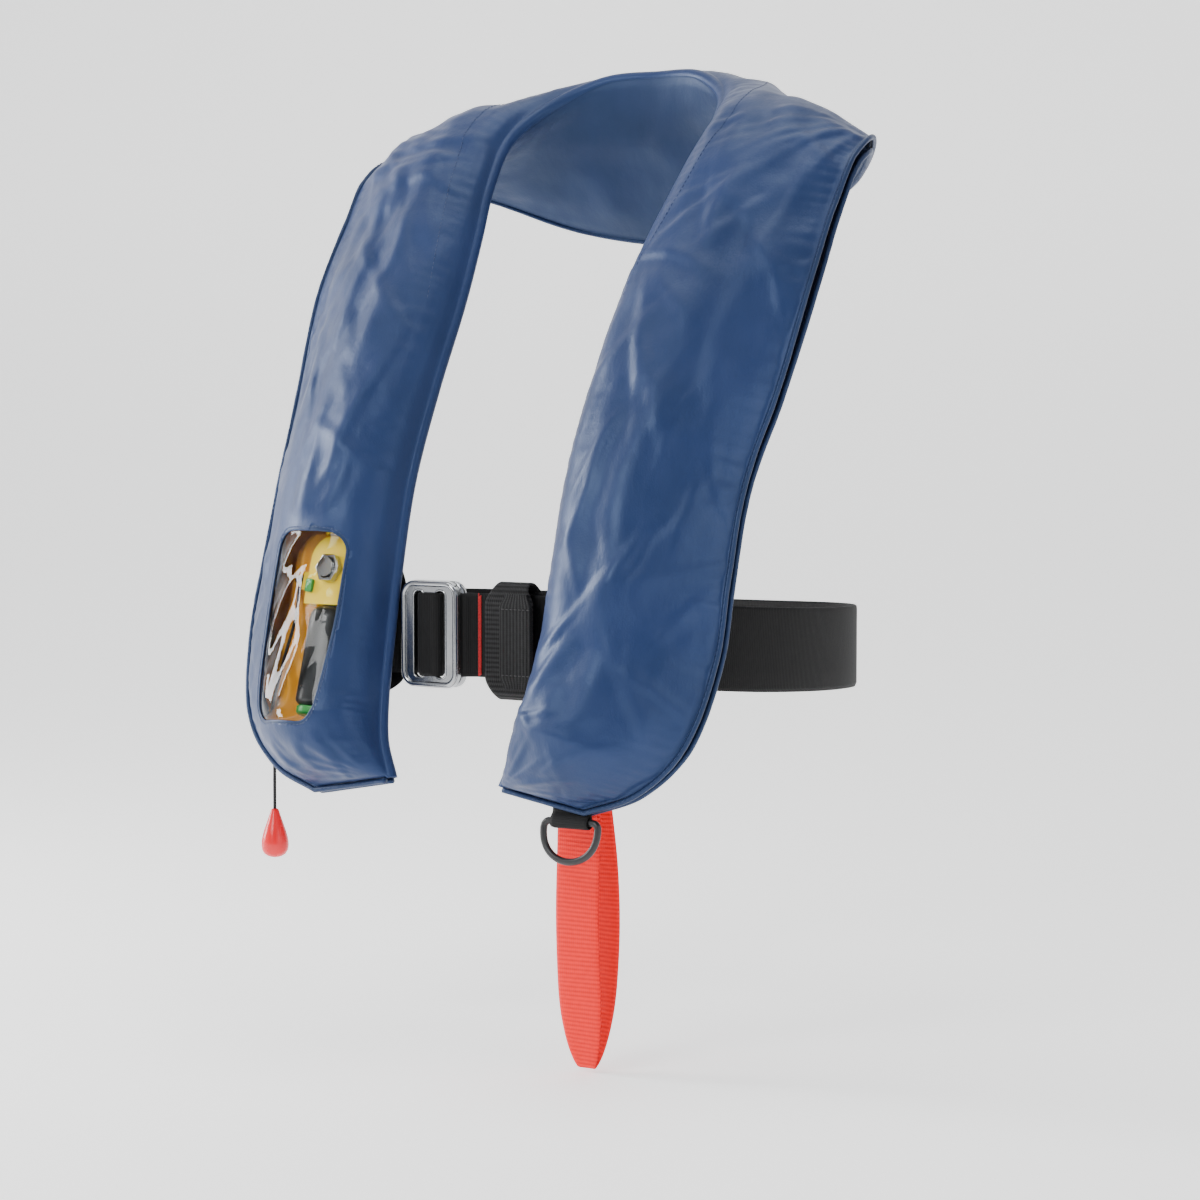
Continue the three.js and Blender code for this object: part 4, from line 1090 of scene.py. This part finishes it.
for label, y, z in (("a", -126.15, -79.5), ("b", -126.3, -84)):
    level_row(f"crotch_stitches_{label}", np.linspace(63, 89, 24), y, z, RED_THREAD, 0.32,
              "crotch_strap")
link_path = rounded_rectangle((CROTCH_X, -121.5, -63), 38, 18, 3)
link = tube("strap_link_rod", link_path, 1.5, BLACK_PLASTIC, 14, FORWARD, True)
finish_piece(link, "strap_link")
ANCHOR = [(-130, -38), (-125.4, -44), (-124.2, -54), (-121.5, -57.6), (-118.8, -54), (-119.4, -45),
          (-124.4, -35)]
anchor = strap("strap_anchor_webbing", in_side(ANCHOR, CROTCH_X), ACROSS, 28, 1.2, RED_RIBBED, 70)
finish_piece(anchor, "strap_anchor")

HANDLE_DROP = 49  # from where the cord leaves the cover to the bottom of the handle
HANDLE_PROFILE = [(0.05, -49), (2.4, -48.9), (4.6, -48.2), (6.6, -46.8), (7.9, -44.6), (8.35, -42),
                  (8.25, -39), (7.7, -36), (6.7, -32.5), (5.5, -29), (4.4, -26), (3.5, -23.2),
                  (2.8, -21), (2.3, -19.6), (1.6, -19.1), (0.05, -19)]
toggle_low, toggle_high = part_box("pull_toggle")
toggle_foot = ((toggle_low.x + toggle_high.x) / 2, (toggle_low.y + toggle_high.y) / 2, toggle_low.z)
toggle_exit = (np.array(toggle_foot) - ORIGIN) / MM + (0, 0, HANDLE_DROP)
handle = lathe("toggle_handle", HANDLE_PROFILE, None, toggle_exit, RED_PLASTIC, 72)
finish_piece(handle, "pull_toggle", body="pull_toggle")
drop = [(0, 0, z) for z in np.linspace(0.3, -19.2, 12)]
short_cord = tube("toggle_cord_line", toggle_exit + drop, 1.0, CORD, 14)
finish_piece(short_cord, "toggle_cord", body="pull_cord_end")

exit_step = 1 - step_at(OUTER_EDGE, 0, 137, 0.0, 0.12)
turn_point, _, _ = yoke_frame(exit_step - 0.014, 0.9)
cord_points = list(RIGHT.out([(-23.5, -15.5, 28), (-17, -21, 8), (-21, -21, -22), (-29, -14, -52)]))
cord_line = even_points(cord_points + [turn_point, OUTER_EDGE(exit_step), toggle_exit], 220)
cord = tube("pull_cord_line", cord_line, 1.0, CORD, 12)
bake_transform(cord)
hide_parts("pull_cord")


# ---- Back strap and belt keepers --------------------------------------------------------------
back_run = np.vstack([
    even_points([(0, 134, 262), (0, 131, 240), (0, 126, 208), (0, 123, 180)], 40)[:-1],
    straight((0, 123, 180), (0, 119.8, 16), 60)[:-1],
    straight((0, 119.8, 16), (0, 119.8, -34), 20)[:-1],
    even_points([(0, 119.8, -34), (0, 119, -40), (0, 116, -43), (0, 113, -40), (0, 112.2, -34)], 24)[:-1],
    straight((0, 112.2, -34), (0, 112.2, 12), 20),
])
back_strap = strap("back_strap_webbing", back_run, ACROSS, 40, 2.0, BLACK_SMOOTH)
finish_piece(back_strap, "back_strap")
# The sewn box with one diagonal: places across the strap and down from its top.
BOX = np.array([(-17, 3), (17, 3), (17, 19), (-17, 19), (-17, 3), (17, 19)], float)
box_places = np.vstack([np.linspace(a, b, 14)[:-1] for a, b in zip(BOX, BOX[1:])])
box_line = along_line(back_run, run_along(back_run), box_places[:, 1]) + (0, 1.15, 0)
box_line[:, 0] = box_places[:, 0]
box_sewn = stitches("back_strap_stitches", box_line, FORWARD, BLACK_THREAD, 3.0, 2.2, 0.35)
finish_piece(box_sewn)
KEEPER = [(-110, 43), (-104.6, 34), (-101.6, 25), (-101.6, 0), (-101.6, -22), (-106, -30), (-114, -34),
          (-121, -36)]
for label, x in (("left", 80), ("right", -80)):
    band = strap(f"belt_keeper_{label}_webbing", in_side(KEEPER, x), ACROSS, 25, 1.4, BLACK_SMOOTH, 80)
    finish_piece(band, f"belt_keeper_{label}")

# ---- Inflator behind the window ---------------------------------------------------------------
CYLINDER_AXIS = (10, -18, 0)  # in the window's frame, in mm
CYLINDER = [(0.05, -46), (11, -46), (13.5, -43.5), (13.5, 9), (12, 13), (8, 15.4), (5.8, 15.8), (5.8, 22),
            (0.05, 22)]
FOOT = [(0.05, -52), (10, -52), (12, -50.5), (12, -46.2), (0.05, -46.2)]
cylinder = lathe("gas_cylinder_body", rounded_profile(CYLINDER, 2), RIGHT, CYLINDER_AXIS, GREY_PAINT, 72)
finish_piece(cylinder, "gas_cylinder", body="gas_cylinder")
foot = lathe("cylinder_foot_cap", rounded_profile(FOOT, 1), RIGHT, CYLINDER_AXIS, GREEN, 56)
finish_piece(foot, "cylinder_foot", body="gas_cylinder")


def sloped_floor(x, z):
    """Local y of the folded chamber: behind the inflator, and rising at its left and below it."""
    left = smoothstep(-x, 6, 30)
    low = smoothstep(-z, 50, 60)
    base = -3.6 - 10 * left - 19 * low * (1 - 0.3 * left)
    return base - 3.0 * smoothstep(x, 27, 31)


# The folded chamber seen through the window: a sheet with two upright folds and one along its foot.
fold_x, fold_z = np.meshgrid(np.linspace(-32.5, 32.5, 81), np.linspace(-61, 87, 165), indexing="ij")
left_share = smoothstep(-fold_x, 3, 16)
bend = fold_x + 4.5 * np.sin(fold_z * 0.045 + 0.6) + 2.0 * np.sin(fold_z * 0.11 + 2.0)
fold_one = np.exp(-((bend + 14) / 3.4) ** 2) * 3.2
fold_two = np.exp(-((bend + 24 - 0.06 * fold_z) / 2.6) ** 2) * 2.6
fold_low = np.exp(-((fold_z + 55 + 0.2 * fold_x) / 2.8) ** 2) * 2.2
wrinkle = np.sin(bend * 0.9 + fold_z * 0.13) * 0.45 + np.sin(fold_z * 0.33 - bend * 0.3) * 0.3
fold_y = sloped_floor(fold_x, fold_z) - (fold_one + fold_two) * left_share - fold_low
fold_y += wrinkle * np.maximum(left_share, smoothstep(-fold_z, 44, 54))
under_cover = RIGHT.into(on_window(fold_x, fold_z))[..., 1] + 2.5
behind = np.stack([fold_x, np.maximum(fold_y, under_cover), fold_z], -1)
hidden = window_distance(np.stack([fold_x, fold_x * 0, fold_z], -1)) > 3.5
hidden &= (fold_x < 0) | (fold_z < -50)
fold_faces = [f for f in grid_faces(*fold_x.shape, flip=True) if not hidden.ravel()[list(f)].any()]
folds = mesh_object("chamber_folds", place(RIGHT.out(behind.reshape(-1, 3))), fold_faces, ORANGE)
modifier(folds, "SUBSURF", levels=1, render_levels=1)
modifier(folds, "SOLIDIFY", thickness=0.4 * MM, offset=1)
finish_piece(folds, "bladder")

# The folded chamber elsewhere: a flat pillow between the covers, open where the pockets are.
PILLOW_STEPS, PILLOW_SPANS = np.linspace(0.012, 0.988, 240), np.linspace(0.07, 0.77, 28)
pillow_s, pillow_w = np.meshgrid(PILLOW_STEPS, PILLOW_SPANS, indexing="ij")
middle, _, out = yoke_frame(pillow_s, pillow_w)
folded = 1 - 0.12 * (1 + np.sin(pillow_s * 160 + 5 * pillow_w))


def pillow_layer(front, room, share):
    """One face of the pillow, with room in mm left under the cover."""
    depth = np.linalg.norm(yoke(pillow_s, pillow_w, front) - middle, axis=-1)
    return np.maximum(depth - room, 0.4) * share


front_layer = middle + out * pillow_layer(True, 4.2, 0.9 * folded)[..., None]
back_layer = middle - out * pillow_layer(False, 2.4, 1)[..., None]


def within(points, low, high):
    """Whether local points lie in a box open fore and aft, up to 70 mm from the mid-surface."""
    x, y, z = np.moveaxis(points, -1, 0)
    return (x > low[0]) & (x < high[0]) & (z > low[1]) & (z < high[1]) & (np.abs(y) < 70)


in_right, in_left = RIGHT.into(front_layer), LEFT.into(front_layer)
shut = (within(in_right, (-33, -64), (33, 90)) | within(in_right, (-58, -112), (-12, -50))
        | within(in_left, (-18, -64), (38, 80))).ravel()
rows, columns = pillow_s.shape
count = rows * columns
pillow_faces = [f for f in grid_faces(rows, columns, flip=True) if not shut[list(f)].any()]
pillow_faces += [tuple(count + i for i in f) for f in grid_faces(rows, columns)]
for edge in (0, columns - 1):
    for a in range(edge, count - columns, columns):
        pillow_faces.append((a, a + columns, a + columns + count, a + count))
pillow_points = np.concatenate([front_layer.reshape(-1, 3), back_layer.reshape(-1, 3)])
pillow = mesh_object("chamber_pillow", place(pillow_points), pillow_faces, ORANGE)
finish_piece(pillow)

# ---- Hard parts kept from the frame, with softened edges ---------------------------------------
KEPT = {
    "valve_stem": STEEL, "stem_gasket": RUBBER, "inflator_body": YELLOW, "retaining_nut": STEEL,
    "firing_pin": STEEL, "pull_lever": BLACK_PLASTIC, "lever_pin": STEEL, "indicator_clip": GREEN,
    "sensor_cap": YELLOW, "water_element": WHITE_PLASTIC, "sensor_spring": STEEL,
    "oral_tube": BLACK_PLASTIC, "oral_valve": RED_PLASTIC, "oral_cap": BLACK_PLASTIC,
    "whistle": WHITE_PLASTIC, "whistle_cord": CORD, "buckle_plate": STEEL, "strap_slider": BLACK_PLASTIC,
}
BEVELS = {"inflator_body": 1.6, "buckle_plate": 1.1, "retaining_nut": 0.6, "pull_lever": 0.6,
          "sensor_cap": 0.8, "whistle": 0.8, "strap_slider": 0.7}
PLAIN_BEVEL = 0.25
SHARP_ANGLE = math.radians(40)
WELD_GAP = 0.02
for node_name, material in KEPT.items():
    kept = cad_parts[node_name]
    kept.data.materials.clear()
    kept.data.materials.append(material)
    modifier(kept, "WELD", merge_threshold=WELD_GAP * MM)
    modifier(kept, "BEVEL", width=BEVELS.get(node_name, PLAIN_BEVEL) * MM, segments=3,
             limit_method="ANGLE", angle_limit=SHARP_ANGLE, harden_normals=False)
    modifier(kept, "WEIGHTED_NORMAL", keep_sharp=False)
    for polygon in kept.data.polygons:
        polygon.use_smooth = True


# ---- Setting, light and camera ----------------------------------------------------------------
VIEW_TURN, VIEW_RISE = math.radians(34), math.radians(4)
VIEW_DISTANCE = 2.0
LENS, SENSOR = 96, 36
FRAME_SHIFT = (0.0066667, 0.0204167)  # how far the picture's middle is moved, in picture widths
view_from = Vector((math.sin(VIEW_TURN), -math.cos(VIEW_TURN), 0))
view_side = Vector((math.cos(VIEW_TURN), math.sin(VIEW_TURN), 0))

# The backdrop is a floor that curves up behind the jacket: metres away from it and above the floor.
BACKDROP = [(2.6, 0.0), (-1.6, 0.0), (-2.0, 0.05), (-2.3, 0.2), (-2.5, 0.45), (-2.6, 0.8), (-2.6, 4.5)]
BACKDROP_HALF_WIDTH = 4.5
FLOOR = CAD_BOX[0][2] - 0.004
FLOOR_PAINT = Shader("floor_paint", (0.9, 0.9, 0.89), 0.7, Emission_Strength=0.7,
                     Emission_Color=(1, 1, 1, 1)).material
backdrop_points = [
    view_from * away + view_side * sideways + Vector((0, 0, FLOOR + up))
    for away, up in BACKDROP
    for sideways in (-BACKDROP_HALF_WIDTH, BACKDROP_HALF_WIDTH)
]
backdrop = mesh_object("studio_floor", backdrop_points, grid_faces(len(BACKDROP), 2), FLOOR_PAINT)
modifier(backdrop, "SUBSURF", levels=2, render_levels=2)

# The world is banded round the horizon, for the steel to mirror, and plain to the camera.
BAND_COUNT = 7
world = bpy.data.worlds.new("studio")
bpy.context.scene.world = world
world.use_nodes = True
sky = Nodes(world.node_tree)
way = sky.split(sky.node("TexCoord").outputs["Generated"])
bands = sky.math("SINE", sky.math("MULTIPLY", sky.math("ARCTAN2", way[0], way[1]), BAND_COUNT))
dimming = sky.ramp(bands, -1, 1, 0.12, 0.95)
camera_ray = sky.node("LightPath").outputs["Is Camera Ray"]
background = sky.nodes["Background"]
sky.give(background.inputs["Strength"], sky.math("MAXIMUM", camera_ray, dimming))
sky.give(background.inputs["Color"], (0.95, 0.96, 1.0, 1))


def aimed(name, data, at, aim):
    made = bpy.data.objects.new(name, data)
    bpy.context.scene.collection.objects.link(made)
    made.location = at
    made.rotation_euler = (aim - at).to_track_quat("-Z", "Y").to_euler()
    return made


def lamp(name, at, aim, size, power, height=None):
    data = bpy.data.lights.new(name, "AREA")
    data.energy, data.size = power, size
    if height:
        data.shape, data.size_y = "RECTANGLE", height
    aimed(name, data, at, aim)


def from_centre(towards, sideways, up):
    return centre + view_from * towards + view_side * sideways + Vector((0, 0, up))


centre = Vector(ORIGIN) + Vector((0, 0, 0.09))
lamp("key_softbox", from_centre(1.5, -1.1, 1.1), centre, 0.8, 22)
lamp("fill_softbox", from_centre(1.3, 1.5, 0.5), centre, 1.2, 13)
lamp("top_softbox", from_centre(0, 0, 1.7), centre, 1.3, 15)
# The strip light stands where the slopes of the film's ridges mirror it to the camera.
RIDGE_SLOPE = math.radians(13)
tilted = Vector(WINDOW_OUT * math.cos(RIDGE_SLOPE) - RIGHT.axes[:, 0] * math.sin(RIDGE_SLOPE))
mirrored_way = (2 * tilted * tilted.dot(view_from) - view_from).normalized()
window_centre = Vector(place(RIGHT.at))
lamp("strip_light", window_centre + mirrored_way * 1.5, window_centre, 0.42, 32, height=1.1)

camera_data = bpy.data.cameras.new("camera")
camera_data.lens, camera_data.sensor_width = LENS, SENSOR
camera_data.shift_x, camera_data.shift_y = FRAME_SHIFT
aim = Vector(ORIGIN)
view_way = view_from * math.cos(VIEW_RISE) + Vector((0, 0, math.sin(VIEW_RISE)))
camera = aimed("camera", camera_data, aim + view_way * VIEW_DISTANCE, aim)
bpy.context.scene.camera = camera

bpy.context.view_layer.update()
